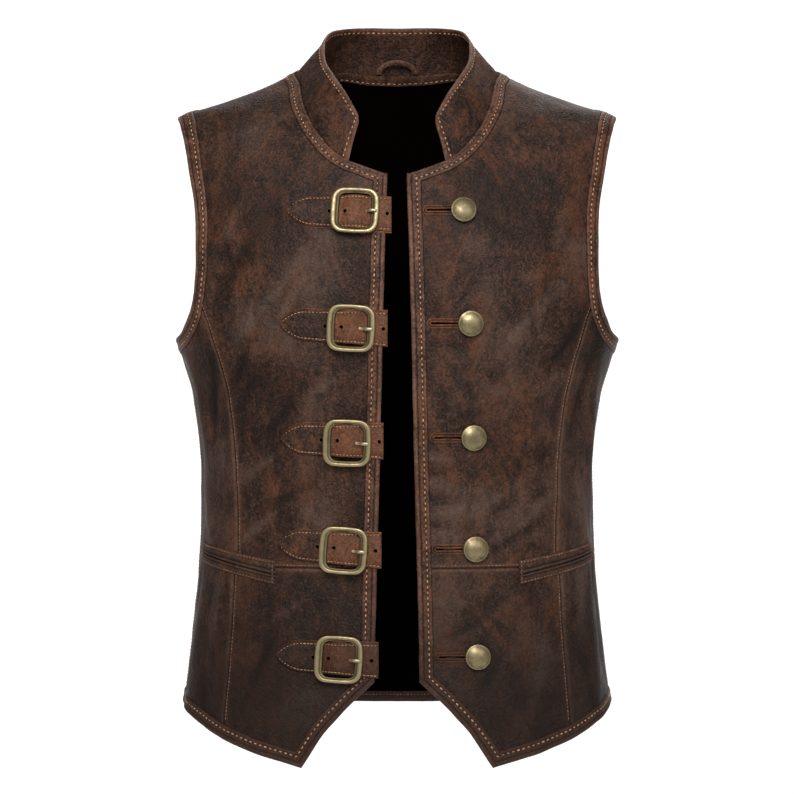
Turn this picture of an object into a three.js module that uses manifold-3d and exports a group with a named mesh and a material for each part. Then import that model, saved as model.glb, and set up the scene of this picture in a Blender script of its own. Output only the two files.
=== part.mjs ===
// A leather vest in a historic style: stand collar, open front, five buckled straps on the wearer's right
// and five domed buttons on the left. It is worn and hollow. Millimetres, +Z up, the front faces -Y, the
// wearer's left is +X. The origin lies between the shoulders, level with the neck ends of the shoulder seams.

import * as THREE from 'three';
import Module from 'manifold-3d';

const wasm = await Module();
wasm.setup();

const RIGHT = -1;
const LEFT = 1;

// ---------------------------------------------------------------- driving dimensions

const WALL = 2; // leather of a panel
const SEAM_GAP = 0.3; // between two pieces that are sewn edge to edge
const LAY_GAP = 0.6; // under a piece that lies on a panel
const ARMHOLE_GAP = 0.9; // under the armhole binding, which is drawn round a tight curve
const BAND_WIDTH = 11.5; // bindings and neck strips
const BAND_THICK = 1;
const COLLAR_THICK = 2.4;
const INNER_LEG = 8; // how far a folded binding reaches inside
const INNER_GAP = 1.5; // between a panel and the part of a binding inside it
const SQUARENESS = 2.4; // power of the rounded outline of each level section

// Level sections of the body: half the breadth, depth in front of and behind the side line, and how far
// the section rises towards the back.
const TORSO = [
  { z: 14, half: 56, front: 4, back: 4, rise: 40 },
  { z: 0, half: 92, front: 15, back: 17, rise: 40 },
  { z: -16, half: 126.5, front: 35, back: 45, rise: 40 },
  { z: -30, half: 165, front: 49, back: 72, rise: 40 },
  { z: -43, half: 203.5, front: 61, back: 85, rise: 38 },
  { z: -60, half: 222, front: 75, back: 93, rise: 34 },
  { z: -80, half: 227, front: 87, back: 100, rise: 27 },
  { z: -103, half: 224, front: 99, back: 106, rise: 19 },
  { z: -150, half: 217, front: 114, back: 113, rise: 6 },
  { z: -200, half: 213, front: 122, back: 114, rise: 0 },
  { z: -232, half: 212, front: 124, back: 113, rise: 0 },
  { z: -256, half: 207.5, front: 124, back: 112, rise: 0 },
  { z: -280, half: 201, front: 123, back: 110, rise: 0 },
  { z: -308, half: 193, front: 122, back: 107, rise: 0 },
  { z: -378, half: 185.5, front: 119, back: 101, rise: 0 },
  { z: -415, half: 185.5, front: 118, back: 99, rise: 0 },
  { z: -464, half: 188, front: 118.5, back: 101, rise: 0 },
  { z: -512, half: 192, front: 120, back: 105, rise: 0 },
  { z: -560, half: 197, front: 122, back: 109, rise: 0 },
  { z: -600, half: 202, front: 124, back: 112, rise: 0 },
  { z: -660, half: 208, front: 126, back: 115, rise: 0 },
];

// The largest folds: where each is centred, half its width and length, how far its line leans from
// upright, and its height (a trough is below zero).
const FOLDS = [
  { side: RIGHT, turn: 75, z: -335, wide: 9, long: 60, lean: 6, deep: 3.2 },
  { side: RIGHT, turn: 83, z: -390, wide: 8, long: 70, lean: -5, deep: -3 },
  { side: RIGHT, turn: 69, z: -410, wide: 10, long: 45, lean: 8, deep: -2 },
  { side: RIGHT, turn: 76, z: -540, wide: 11, long: 60, lean: -4, deep: 3 },
  { side: RIGHT, turn: 84, z: -560, wide: 8, long: 50, lean: 4, deep: -2.4 },
  { side: RIGHT, turn: 52, z: -300, wide: 16, long: 46, lean: 32, deep: -1.6 },
  { side: RIGHT, turn: 104, z: -350, wide: 11, long: 70, lean: -8, deep: 3 },
  { side: RIGHT, turn: 118, z: -430, wide: 12, long: 60, lean: 10, deep: -2.6 },
  { side: LEFT, turn: 77, z: -345, wide: 9, long: 66, lean: -7, deep: 3.4 },
  { side: LEFT, turn: 84, z: -400, wide: 9, long: 60, lean: 5, deep: -2.8 },
  { side: LEFT, turn: 68, z: -395, wide: 10, long: 50, lean: -9, deep: -2.2 },
  { side: LEFT, turn: 74, z: -550, wide: 10, long: 64, lean: 5, deep: 2.8 },
  { side: LEFT, turn: 83, z: -535, wide: 8, long: 52, lean: -4, deep: -2.6 },
  { side: LEFT, turn: 50, z: -398, wide: 40, long: 12, lean: 12, deep: 1.5 },
  { side: LEFT, turn: 106, z: -365, wide: 12, long: 62, lean: 9, deep: 2.8 },
  { side: LEFT, turn: 121, z: -415, wide: 11, long: 66, lean: -9, deep: -2.8 },
  { side: RIGHT, turn: 150, z: -455, wide: 44, long: 11, lean: 8, deep: 2.2 },
  { side: LEFT, turn: 148, z: -478, wide: 40, long: 12, lean: -10, deep: -2 },
  { side: RIGHT, turn: 138, z: -215, wide: 13, long: 46, lean: 24, deep: -2 },
  { side: LEFT, turn: 140, z: -205, wide: 12, long: 50, lean: -22, deep: 2 },
];

// Edges and seams. x is measured level from the middle of the front, turn is in degrees round from it.
const FRONT_EDGE = [
  { z: -103, x: 10.2 },
  { z: -205, x: 13.5 },
  { z: -300, x: 15.7 },
  { z: -380, x: 17.5 },
  { z: -450, x: 19.5 },
  { z: -510, x: 21 },
  { z: -570, x: 22.3 },
];
const FRONT_NECK = [
  { x: 10.2, z: -103 },
  { x: 26, z: -97.5 },
  { x: 45, z: -90 },
];
const COLLAR_NECK = [
  { x: 45, z: -90 },
  { x: 58, z: -81 },
  { x: 70, z: -67.5 },
  { x: 79.5, z: -53 },
  { x: 86.5, z: -37 },
  { x: 90.8, z: -16 },
  { x: 92, z: 0 },
];
const BACK_NECK = [
  { turn: 90, z: 0 },
  { turn: 100, z: -5.5 },
  { turn: 110, z: -11 },
  { turn: 122, z: -20 },
  { turn: 135, z: -28 },
  { turn: 155, z: -33.5 },
  { turn: 180, z: -35 },
];
const SHOULDER_TIP_Z = -43;
const ARMHOLE_FRONT = [
  { turn: 69.5, z: -212 },
  { turn: 69, z: -184 },
  { turn: 70, z: -137 },
  { turn: 72.1, z: -108 },
  { turn: 75.2, z: -79 },
  { turn: 79.5, z: -58 },
  { turn: 83, z: -49.5 },
  { turn: 90, z: SHOULDER_TIP_Z },
];
const ARMHOLE_UNDER = [
  { turn: 69.5, z: -212 },
  { turn: 71.2, z: -232 },
  { turn: 77, z: -249 },
  { turn: 90, z: -256 },
];
const ARMHOLE_UNDER_BACK = [
  { turn: 90, z: -256 },
  { turn: 98, z: -250 },
  { turn: 104, z: -230 },
  { turn: 107, z: -200 },
];
const ARMHOLE_BACK = [
  { turn: 107, z: -200 },
  { turn: 108, z: -150 },
  { turn: 107.8, z: -107 },
  { turn: 106.3, z: -79 },
  { turn: 103, z: -60 },
  { turn: 99.3, z: -51 },
  { turn: 90, z: SHOULDER_TIP_Z },
];
const PRINCESS_UPPER = [
  { turn: 60.2, z: -464 },
  { turn: 60.8, z: -430 },
  { turn: 61.3, z: -377 },
  { turn: 62, z: -320 },
  { turn: 63.1, z: -284 },
  { turn: 64.6, z: -256 },
  { turn: 66.3, z: -233 },
  { turn: 69.5, z: -212 },
];
const PRINCESS_LOWER_TURN = 61.4;
const WAIST = [
  { turn: 0, z: -467 },
  { turn: 48, z: -466 },
  { turn: 60, z: -464 },
  { turn: 76, z: -457 },
  { turn: 90, z: -455 },
];
const SLANT = [
  { x: 22.3, z: -570 },
  { x: 42, z: -588.5 },
  { x: 67.5, z: -616 },
  { x: 89, z: -648 },
];
const FRONT_HEM = [
  { turn: 36.8, z: -648 },
  { turn: 43.1, z: -643 },
  { turn: 51.3, z: -636 },
  { turn: PRINCESS_LOWER_TURN, z: -624.5 },
];
const SIDE_HEM = [
  { turn: PRINCESS_LOWER_TURN, z: -624.5 },
  { turn: 67, z: -616.5 },
  { turn: 75, z: -605.8 },
  { turn: 82, z: -599 },
  { turn: 90, z: -595 },
];
const BACK_HEM = [
  { turn: 90, z: -595 },
  { turn: 104, z: -596 },
  { turn: 125, z: -600.5 },
  { turn: 152, z: -605 },
  { turn: 180, z: -606 },
];

// Top edge of the collar, from its front corner to the middle of the back.
const COLLAR_TOP = [
  { x: 34.5, y: -87, z: -50 },
  { x: 47.5, y: -73, z: -26 },
  { x: 58.5, y: -54, z: -9 },
  { x: 67.5, y: -31, z: 7 },
  { x: 69.5, y: -10, z: 22 },
  { x: 68.5, y: 10, z: 33 },
  { x: 62.5, y: 32, z: 42 },
  { x: 50, y: 49, z: 46 },
  { x: 28, y: 62, z: 48 },
  { x: 0, y: 67, z: 48 },
];
const COLLAR_SWELL = 1.5; // how far the collar rounds outwards at half its height

// Pocket: slants up towards the side; an upper and a lower welt meet at the slit.
const POCKET = { inner: 47.7, outer: 78 };
const POCKET_LINES = {
  top: { inner: -460, outer: -444.5 },
  slit: { inner: -473, outer: -453.5 },
  bottom: { inner: -482, outer: -462.5 },
};
const WELT_THICK = 1.4;
const SLIT_GAP = 0.8;

// Straps on the right front, top to bottom: height and place of the buckle's middle, the pointed outer end,
// the square front end, and the tilt in degrees.
const STRAPS = [
  { z: -139, x: 38.5, tip: 102, end: 5.1, tilt: 2.5 },
  { z: -246, x: 42, tip: 107.5, end: 8.7, tilt: 3 },
  { z: -351, x: 45.4, tip: 107.5, end: 12.4, tilt: 2 },
  { z: -450, x: 48.8, tip: 109.7, end: 14.2, tilt: 4 },
  { z: -550, x: 53, tip: 111.5, end: 17, tilt: 3 },
];
const STRAP_WIDTH = 28.4; // where the pointed end begins
const STRAP_FLARE = 0.055; // how much wider it grows, to a millimetre of length
const STRAP_THICK = 1.6;
const STRAP_POINT = 24; // length of the pointed end
const STRAP_LOW = 0.6; // its underside over the panel
const STRAP_MID = 1.8; // its underside under the bars and over the binding
const STRAP_HIGH = 6.2; // its underside over the centre bar
const STRAP_HOLES = [-23.5, -8.8, 29.6]; // from the buckle's middle towards the front edge
const HOLE_MARGIN = 3; // least distance from a hole's middle to the strap's end
const HOLE_RADIUS = 1.5;

const BUCKLE = { width: 45, height: 44, corner: 11, sideBar: 7.8, endBar: 4.8, thick: 4.2, low: 3.9 };
const BUCKLE_WINDOW_CORNER = 5.5;
const BUCKLE_SWELL = { outer: 0.8, inner: 0.2 }; // how far the sides bulge
const BUCKLE_BEVEL = { inside: 1.1, outside: 1.65 };
const CENTRE_BAR_RADIUS = 0.8;
const CENTRE_BAR_HEIGHT = BUCKLE.low + CENTRE_BAR_RADIUS;
const PRONG = { width: 3, thick: 1.6, reach: 20.5, ring: 2.2, rise: 8, rest: 13.5, tip: 0.7 };
const SLOT = { from: -3, to: 11.5, width: 3.8 }; // in the strap, for the prong
const CUT_DEPTH = { outside: -12, inside: 3 }; // of holes and slots, from the panel

// Buttons on the left front: height, place, and where the buttonhole starts.
const BUTTONS = [
  { z: -137, x: 61.2, hole: 24.6 },
  { z: -241.5, x: 67.5, hole: 28.4 },
  { z: -346.5, x: 70.2, hole: 31 },
  { z: -449, x: 72, hole: 32.8 },
  { z: -548, x: 74, hole: 35.6 },
];
const BUTTON_RADIUS = 11.8;
const BUTTON_HEIGHT = 7.4;
const SHANK_RADIUS = 3.5;
const SHANK_HEIGHT = 2.2;
const BUTTONHOLE_LENGTH = 27;
const BUTTONHOLE_HEIGHT = 9.4;
const LIP_WIDTH = 3.7;
const LIP_THICK = 1;
const LIP_TURNS = [0, 60, 120, 180]; // degrees round each end

const LOOP = { halfWidth: 17.5, height: 12, strip: 5, thick: 1.6, lean: 4 };
const LOOP_BASE = 0.8; // its foot over the neck seam
const LOOP_CLEAR = 1.6; // between its foot and the collar
const LOOP_STEPS = 10;
const FACING_WIDTH = 14;
const FACING_GAP = 0.8; // between the back and the facing inside it
const FACING_RIM = 0.8; // from the neck seam to the facing
const FACING_TURN = 128; // where the facing ends, on each side
const PIN_SIDES = 6;
const BUTTON_SIDES = 12;
const POCKET_STEPS = 8;

const UNDERARM = { fromTurn: 76, belowZ: -236 }; // the level part of the armhole's foot
const CENTRE_UNDERARM_Z = -264; // where the row of nodes from the underarm meets the centre back
const BACK_POWER = 4; // keeps the steps of the back level as far up as the shoulder blades
const SIDE_GRADING = 1.3; // steps along the back hem grow longer towards the middle

// How many steps each stretch of a seam is made of; neighbours share them.
const STEPS = {
  edgeUpper: 16,
  neckFront: 2,
  neckCollar: 7,
  princess: 12,
  armFront: 13,
  armUnder: 6,
  armUnderBack: 6,
  armBack: 8,
  lower: 6,
  across: 11,
  slant: 6,
  side: 6,
  shoulderBack: 6,
  neckBack: 7,
  collar: 3,
};

// ---------------------------------------------------------------- materials

const leather = new THREE.MeshStandardMaterial({ color: 0x3a2720, roughness: 0.55, metalness: 0 });
const edgeLeather = new THREE.MeshStandardMaterial({ color: 0x5a3222, roughness: 0.5, metalness: 0 });
const strapLeather = new THREE.MeshStandardMaterial({ color: 0x4b2a1d, roughness: 0.5, metalness: 0 });
const brass = new THREE.MeshStandardMaterial({ color: 0x9a8450, roughness: 0.35, metalness: 1 });

// ---------------------------------------------------------------- the body's surface

const { degToRad, radToDeg, lerp, smoothstep } = THREE.MathUtils;

/** A smooth curve through one column of a table, which doesn't overshoot between rows. */
function column(rows, name, by = 'z') {
  const sorted = [...rows].sort((a, b) => a[by] - b[by]);
  const at = sorted.map((row) => row[by]);
  const value = sorted.map((row) => row[name]);
  const slope = at.slice(1).map((next, i) => (value[i + 1] - value[i]) / (next - at[i]));
  const tangent = at.map((_, i) => {
    if (i === 0) return slope[0];
    if (i === slope.length) return slope[i - 1];
    const product = slope[i - 1] * slope[i];
    return product <= 0 ? 0 : (2 * product) / (slope[i - 1] + slope[i]);
  });
  return (where) => {
    let i = 0;
    while (i < slope.length - 1 && where > at[i + 1]) i += 1;
    const span = at[i + 1] - at[i];
    const u = Math.min(Math.max((where - at[i]) / span, 0), 1);
    const start = (1 + 2 * u) * (1 - u) ** 2 * value[i] + u * (1 - u) ** 2 * span * tangent[i];
    const finish = u * u * (3 - 2 * u) * value[i + 1] - u * u * (1 - u) * span * tangent[i + 1];
    return start + finish;
  };
}

const torso = {
  half: column(TORSO, 'half'),
  front: column(TORSO, 'front'),
  back: column(TORSO, 'back'),
  rise: column(TORSO, 'rise'),
};
const RISE_FROM = 90;
const RISE_TO = 150;

/** The smooth body without folds, at a turn in degrees from the middle of the front and a level z. */
function body(side, turn, z) {
  const angle = degToRad(turn);
  const across = Math.abs(Math.sin(angle)) / torso.half(z);
  const deep = Math.abs(Math.cos(angle)) / (turn < 90 ? torso.front(z) : torso.back(z));
  const reach = (across ** SQUARENESS + deep ** SQUARENESS) ** (-1 / SQUARENESS);
  const rise = torso.rise(z) * smoothstep(turn, RISE_FROM, RISE_TO);
  return new THREE.Vector3(side * reach * Math.sin(angle), -reach * Math.cos(angle), z + rise);
}

const TURN_STEP = 0.3;
const Z_STEP = 0.5;

/** The two directions along a surface, per degree of turn and per millimetre of z, and its outward normal. */
function slopes(surface, side, turn, z) {
  const along = surface(side, turn + TURN_STEP, z).sub(surface(side, turn - TURN_STEP, z));
  const up = surface(side, turn, z + Z_STEP).sub(surface(side, turn, z - Z_STEP));
  along.divideScalar(2 * TURN_STEP);
  up.divideScalar(2 * Z_STEP);
  const normal = along.clone().cross(up).multiplyScalar(side).normalize();
  return { along, up, normal };
}

const FOLD_RADIUS = 150; // turns a difference of turn into millimetres round the body

function foldHeight(side, turn, z) {
  let height = 0;
  for (const fold of FOLDS) {
    if (fold.side !== side) continue;
    const round = degToRad(turn - fold.turn) * FOLD_RADIUS;
    const lean = degToRad(fold.lean);
    const across = round * Math.cos(lean) - (z - fold.z) * Math.sin(lean);
    const along = round * Math.sin(lean) + (z - fold.z) * Math.cos(lean);
    height += fold.deep * Math.exp(-((across / fold.wide) ** 2) - (along / fold.long) ** 2);
  }
  return height;
}

/** The outer face of the leather, with its folds. */
function skin(side, turn, z) {
  const height = foldHeight(side, turn, z);
  return body(side, turn, z).addScaledVector(slopes(body, side, turn, z).normal, height);
}

/** A point of the skin at a node {side, turn, z}, moved out along the normal. */
function onSkin(node, out = 0) {
  const { normal } = slopes(skin, node.side, node.turn, node.z);
  return skin(node.side, node.turn, node.z).addScaledVector(normal, out);
}

/** The node a short step, a vector in millimetres, away from another along the skin. */
function walk(node, step) {
  const { along, up } = slopes(skin, node.side, node.turn, node.z);
  const aa = along.dot(along);
  const au = along.dot(up);
  const uu = up.dot(up);
  const sa = step.dot(along);
  const su = step.dot(up);
  const area = aa * uu - au * au;
  const turn = node.turn + (sa * uu - su * au) / area;
  const z = node.z + (su * aa - sa * au) / area;
  return { side: node.side, turn, z };
}

/** The turn of a point of the front that lies x from the middle at a level z. */
function turnAt(x, z) {
  const share = Math.min(Math.abs(x) / torso.half(z), 1);
  const deep = torso.front(z) * (1 - share ** SQUARENESS) ** (1 / SQUARENESS);
  return radToDeg(Math.atan2(x, deep));
}

function frontNode(side, x, z) {
  return { side, turn: turnAt(x, z), z };
}

// ---------------------------------------------------------------- seams as rows of nodes

const DEGREE_LENGTH = 2.8; // millimetres to a degree, to space nodes evenly

/** Nodes on a smooth line through the rows of a table, even, or growing further apart along it. */
function trace(side, rows, count, grading = 1) {
  const marks = rows.map((row) => {
    const turn = row.turn ?? turnAt(row.x, row.z);
    return new THREE.Vector3(turn * DEGREE_LENGTH, row.z, 0);
  });
  const line = new THREE.CatmullRomCurve3(marks, false, 'centripetal');
  return even(0, 1, count, (share) => {
    const p = line.getPointAt(share ** grading);
    return { side, turn: p.x / DEGREE_LENGTH, z: p.y };
  });
}

const waistZ = column(WAIST, 'z', 'turn');
const edgeX = column(FRONT_EDGE, 'x');
const EDGE_TOP = FRONT_EDGE[0].z;
const EDGE_BOTTOM = FRONT_EDGE.at(-1).z;

function even(from, to, count, make) {
  return Array.from({ length: count + 1 }, (_, i) => make(lerp(from, to, i / count)));
}

/** Even nodes between two whose outermost steps, at one end or both, are a band wide. */
function banded(from, to, count, make, { first = true, last = true } = {}) {
  const length = make(from).point.distanceTo(make(to).point);
  const step = BAND_WIDTH / length;
  const start = first ? step : 0;
  const finish = last ? 1 - step : 1;
  const inner = count - (first ? 1 : 0) - (last ? 1 : 0);
  const marks = Array.from({ length: inner + 1 }, (_, i) => lerp(start, finish, i / inner));
  if (first) marks.unshift(0);
  if (last) marks.push(1);
  return marks.map((share) => make(lerp(from, to, share)).node);
}

function join(...rows) {
  return rows.reduce((all, row) => [...all, ...row.slice(1)]);
}

const flipped = (row) => [...row].reverse();

/** All the seam lines of one side. */
function seamsOf(side) {
  const edgeNode = (z) => frontNode(side, edgeX(z), z);
  const waistNode = (turn) => ({ side, turn, z: waistZ(turn) });
  const sideNode = (z) => ({ side, turn: 90, z });
  const placed = (z) => ({ node: sideNode(z), point: onSkin(sideNode(z)) });
  const edgeWaist = waistZ(turnAt(edgeX(WAIST[0].z), WAIST[0].z));
  const edgeTurn = edgeNode(edgeWaist).turn;
  const princessTurn = PRINCESS_UPPER[0].turn;
  const waistFront = even(edgeTurn, princessTurn, STEPS.across, waistNode);
  const lowerCorner = waistNode(PRINCESS_LOWER_TURN);
  return {
    edgeUpper: even(edgeWaist, EDGE_TOP, STEPS.edgeUpper, edgeNode),
    edgeLower: even(EDGE_BOTTOM, edgeWaist, STEPS.lower, edgeNode),
    neckFront: trace(side, FRONT_NECK, STEPS.neckFront),
    neckCollar: trace(side, COLLAR_NECK, STEPS.neckCollar),
    neckBack: trace(side, BACK_NECK, STEPS.neckBack),
    shoulder: banded(0, SHOULDER_TIP_Z, STEPS.across, placed),
    shoulderBack: banded(SHOULDER_TIP_Z, 0, STEPS.shoulderBack, placed, { last: false }),
    armFront: trace(side, ARMHOLE_FRONT, STEPS.armFront),
    armUnder: trace(side, ARMHOLE_UNDER, STEPS.armUnder),
    armBack: join(
      trace(side, ARMHOLE_UNDER_BACK, STEPS.armUnderBack),
      trace(side, ARMHOLE_BACK, STEPS.armBack),
    ),
    princessUpper: trace(side, PRINCESS_UPPER, STEPS.princess),
    princessLower: even(FRONT_HEM.at(-1).z, lowerCorner.z, STEPS.lower, (z) => ({
      side,
      turn: PRINCESS_LOWER_TURN,
      z,
    })),
    waistFront,
    waistFrontLower: [...waistFront.slice(0, -1), lowerCorner],
    waistSide: even(princessTurn, 90, STEPS.side, waistNode),
    waistSideLower: even(PRINCESS_LOWER_TURN, 90, STEPS.side, waistNode),
    slant: trace(side, SLANT, STEPS.slant),
    hemFront: trace(side, FRONT_HEM, STEPS.across - STEPS.slant),
    hemSide: trace(side, SIDE_HEM, STEPS.side),
    hemBack: trace(side, BACK_HEM, STEPS.shoulderBack + STEPS.neckBack, SIDE_GRADING),
    sideUpper: banded(waistZ(90), ARMHOLE_UNDER.at(-1).z, STEPS.princess, placed, { first: false }),
    sideLower: even(SIDE_HEM.at(-1).z, waistZ(90), STEPS.lower, sideNode),
  };
}

const seams = { [RIGHT]: seamsOf(RIGHT), [LEFT]: seamsOf(LEFT) };

// ---------------------------------------------------------------- solids

/** A closed mesh from points and triangles, turned so that its faces point out. */
function closedMesh(points, triangles) {
  let volume = 0;
  const [a, b, c] = [new THREE.Vector3(), new THREE.Vector3(), new THREE.Vector3()];
  for (const [i, j, k] of triangles) {
    a.copy(points[i]);
    volume += a.dot(b.copy(points[j]).cross(c.copy(points[k])));
  }
  const faces = volume < 0 ? triangles.map(([i, j, k]) => [i, k, j]) : triangles;
  const geometry = new THREE.BufferGeometry().setFromPoints(points);
  geometry.setIndex(faces.flat());
  return geometry;
}

/** The two triangles of a four-cornered face, split along its shorter diagonal. */
function halves(points, a, b, c, d) {
  const along = points[a].distanceTo(points[c]) <= points[b].distanceTo(points[d]);
  return along ? [[a, b, c], [a, c, d]] : [[b, c, d], [b, d, a]];
}

/** A solid between two grids of points of the same size: a sheet's outer and inner faces. */
function sheetSolid(outer, inner) {
  const rows = outer.length;
  const cols = outer[0].length;
  const points = [...outer.flat(), ...inner.flat()];
  const index = (face, i, j) => face * rows * cols + i * cols + j;
  const triangles = [];
  const quad = (...corners) => triangles.push(...halves(points, ...corners));
  for (let i = 0; i + 1 < rows; i += 1) {
    for (let j = 0; j + 1 < cols; j += 1) {
      quad(index(0, i, j), index(0, i, j + 1), index(0, i + 1, j + 1), index(0, i + 1, j));
      quad(index(1, i, j), index(1, i + 1, j), index(1, i + 1, j + 1), index(1, i, j + 1));
    }
    quad(index(0, i, 0), index(0, i + 1, 0), index(1, i + 1, 0), index(1, i, 0));
    quad(index(0, i + 1, cols - 1), index(0, i, cols - 1), index(1, i, cols - 1), index(1, i + 1, cols - 1));
  }
  for (let j = 0; j + 1 < cols; j += 1) {
    quad(index(0, 0, j + 1), index(0, 0, j), index(1, 0, j), index(1, 0, j + 1));
    quad(index(0, rows - 1, j), index(0, rows - 1, j + 1), index(1, rows - 1, j + 1), index(1, rows - 1, j));
  }
  return closedMesh(points, triangles);
}

/** The share of a row's length at each of its nodes. */
function shares(row) {
  const sums = [0];
  for (let k = 1; k < row.length; k += 1) {
    const length = Math.hypot((row[k].turn - row[k - 1].turn) * DEGREE_LENGTH, row[k].z - row[k - 1].z);
    sums.push(sums[k - 1] + length);
  }
  return sums.map((sum) => sum / sums.at(-1));
}

/**
 * A grid of nodes inside four seam lines; bottom and top run one way, left and right run up. A power of
 * more than 1 keeps the shape of the top line near the top.
 */
function patch(bottom, right, top, left, power = 1) {
  const [rows, cols] = [left.length - 1, bottom.length - 1];
  const [low, high, near, far] = [bottom, top, left, right].map(shares);
  const blend = (name, i, j) => {
    const u = lerp(low[j], high[j], i / rows);
    const v = lerp(near[i], far[i], j / cols) ** power;
    const ruled = lerp(left[i][name], right[i][name], u) + lerp(bottom[j][name], top[j][name], v);
    const lowCorners = lerp(bottom[0][name], bottom[cols][name], u);
    const highCorners = lerp(top[0][name], top[cols][name], u);
    return ruled - lerp(lowCorners, highCorners, v);
  };
  return left.map((start, i) =>
    bottom.map((_, j) => ({ side: start.side, turn: blend('turn', i, j), z: blend('z', i, j) })),
  );
}

/** Draws the outermost nodes of a grid in by half a seam gap. */
function trimmed(grid) {
  const [rows, cols] = [grid.length - 1, grid[0].length - 1];
  const towards = (node, next) => {
    const length = onSkin(node).distanceTo(onSkin(next));
    const share = SEAM_GAP / 2 / length;
    return { turn: (next.turn - node.turn) * share, z: (next.z - node.z) * share };
  };
  return grid.map((row, i) =>
    row.map((node, j) => {
      const nexts = [];
      if (i === 0) nexts.push(grid[1][j]);
      if (i === rows) nexts.push(grid[rows - 1][j]);
      if (j === 0) nexts.push(grid[i][1]);
      if (j === cols) nexts.push(grid[i][cols - 1]);
      const moves = nexts.map((next) => towards(node, next));
      return {
        side: node.side,
        turn: moves.reduce((sum, move) => sum + move.turn, node.turn),
        z: moves.reduce((sum, move) => sum + move.z, node.z),
      };
    }),
  );
}

/** A wall of leather from a grid of nodes, between two heights over the skin. */
function panel(grid, out = 0, inn = -WALL) {
  const nodes = trimmed(grid);
  const face = (height) => nodes.map((row) => row.map((node) => onSkin(node, height)));
  return sheetSolid(face(out), face(inn));
}

/** The node that lies a distance inside an edge, square to it, or on the mitre at a corner. */
function inset(row, k, distance, hand, ends) {
  const before = row[k - 1] ?? ends.before;
  const after = row[k + 1] ?? ends.after;
  const here = onSkin(row[k]);
  const { normal } = slopes(skin, row[k].side, row[k].turn, row[k].z);
  const inwards = [];
  if (before) inwards.push(normal.clone().cross(here.clone().sub(onSkin(before))).normalize());
  if (after) inwards.push(normal.clone().cross(onSkin(after).sub(here)).normalize());
  const middle = inwards.reduce((sum, v) => sum.add(v), new THREE.Vector3()).normalize();
  return walk(row[k], middle.multiplyScalar((hand * distance) / middle.dot(inwards[0])));
}

/**
 * An edge for a strip to follow: its row of nodes and the nodes a width inside it. hand says on which side
 * of the row the panel lies; settled holds inner nodes that are given, where the edge crosses a seam.
 */
function rim(row, hand, { width = BAND_WIDTH, closed = false, before, after, settled = [] }) {
  const ends = closed ? { before: row.at(-1), after: row[0] } : { before, after };
  const inner = row.map((node, k) => {
    const given = settled.find(([edge]) => sameNode(edge, node));
    return given ? given[1] : inset(row, k, width, hand, ends);
  });
  return { row, inner, width, closed };
}

function sameNode(a, b) {
  return a.side === b.side && Math.abs(a.turn - b.turn) < 0.01 && Math.abs(a.z - b.z) < 0.01;
}

/** Puts the nodes next to a grid's edges on the inner lines of the rims, where a rim has the edge's node. */
function underRims(grid, rims) {
  const [rows, cols] = [grid.length - 1, grid[0].length - 1];
  const innerOf = (node) => {
    for (const { row, inner } of rims) {
      const k = row.findIndex((edge) => sameNode(edge, node));
      if (k >= 0) return inner[k];
    }
    return undefined;
  };
  const lines = grid.map((row) => [...row]);
  for (let i = 1; i < rows; i += 1) {
    lines[i][1] = innerOf(grid[i][0]) ?? lines[i][1];
    lines[i][cols - 1] = innerOf(grid[i][cols]) ?? lines[i][cols - 1];
  }
  for (let j = 1; j < cols; j += 1) lines[rows - 1][j] = innerOf(grid[rows][j]) ?? lines[rows - 1][j];
  return lines;
}

/** The part of a rim whose nodes pass a test. */
function stretch(whole, test) {
  const keep = whole.row.map(test);
  return { ...whole, row: whole.row.filter((_, k) => keep[k]), inner: whole.inner.filter((_, k) => keep[k]) };
}

/** A strip that follows a rim. Its profile is {inn, out}: millimetres inside the edge and over the skin. */
function edging({ row, inner, width, closed }, profile) {
  const rings = row.map((node, k) =>
    profile.map(({ inn, out }) => onSkin(node, out).lerp(onSkin(inner[k], out), inn / width)),
  );
  if (closed) return tubeSolid(rings, profile, true);
  const shortened = (ring, next) =>
    ring.map((p, i) => p.clone().lerp(next[i], SEAM_GAP / 2 / p.distanceTo(next[i])));
  const first = shortened(rings[0], rings[1]);
  const last = shortened(rings.at(-1), rings.at(-2));
  return tubeSolid([first, ...rings.slice(1, -1), last], profile, false);
}

/** A solid swept through rings of points; open ends are capped with the outline's own triangles. */
function tubeSolid(rings, profile, closed) {
  const size = profile.length;
  const points = rings.flat();
  const triangles = [];
  const links = closed ? rings.length : rings.length - 1;
  for (let k = 0; k < links; k += 1) {
    const next = (k + 1) % rings.length;
    for (let i = 0; i < size; i += 1) {
      const j = (i + 1) % size;
      const corners = [k * size + i, k * size + j, next * size + j, next * size + i];
      triangles.push(...halves(points, ...corners));
    }
  }
  if (!closed) {
    const outline = profile.map((mark) => new THREE.Vector2(mark.inn, mark.out));
    const last = (rings.length - 1) * size;
    for (const cap of THREE.ShapeUtils.triangulateShape(outline, [])) {
      const [a, b, c] = cap.sort((i, j) => i - j); // the way that the outline runs
      triangles.push([a, c, b], [a + last, b + last, c + last]);
    }
  }
  return closedMesh(points, triangles);
}

// ---------------------------------------------------------------- booleans

function toManifold(geometry) {
  const vertProperties = new Float32Array(geometry.attributes.position.array);
  const triVerts = new Uint32Array(geometry.index.array);
  return new wasm.Manifold(new wasm.Mesh({ numProp: 3, vertProperties, triVerts }));
}

function fromManifold(solid) {
  const mesh = solid.getMesh();
  const geometry = new THREE.BufferGeometry();
  geometry.setAttribute('position', new THREE.BufferAttribute(new Float32Array(mesh.vertProperties), 3));
  geometry.setIndex([...mesh.triVerts]);
  return geometry;
}

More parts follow.
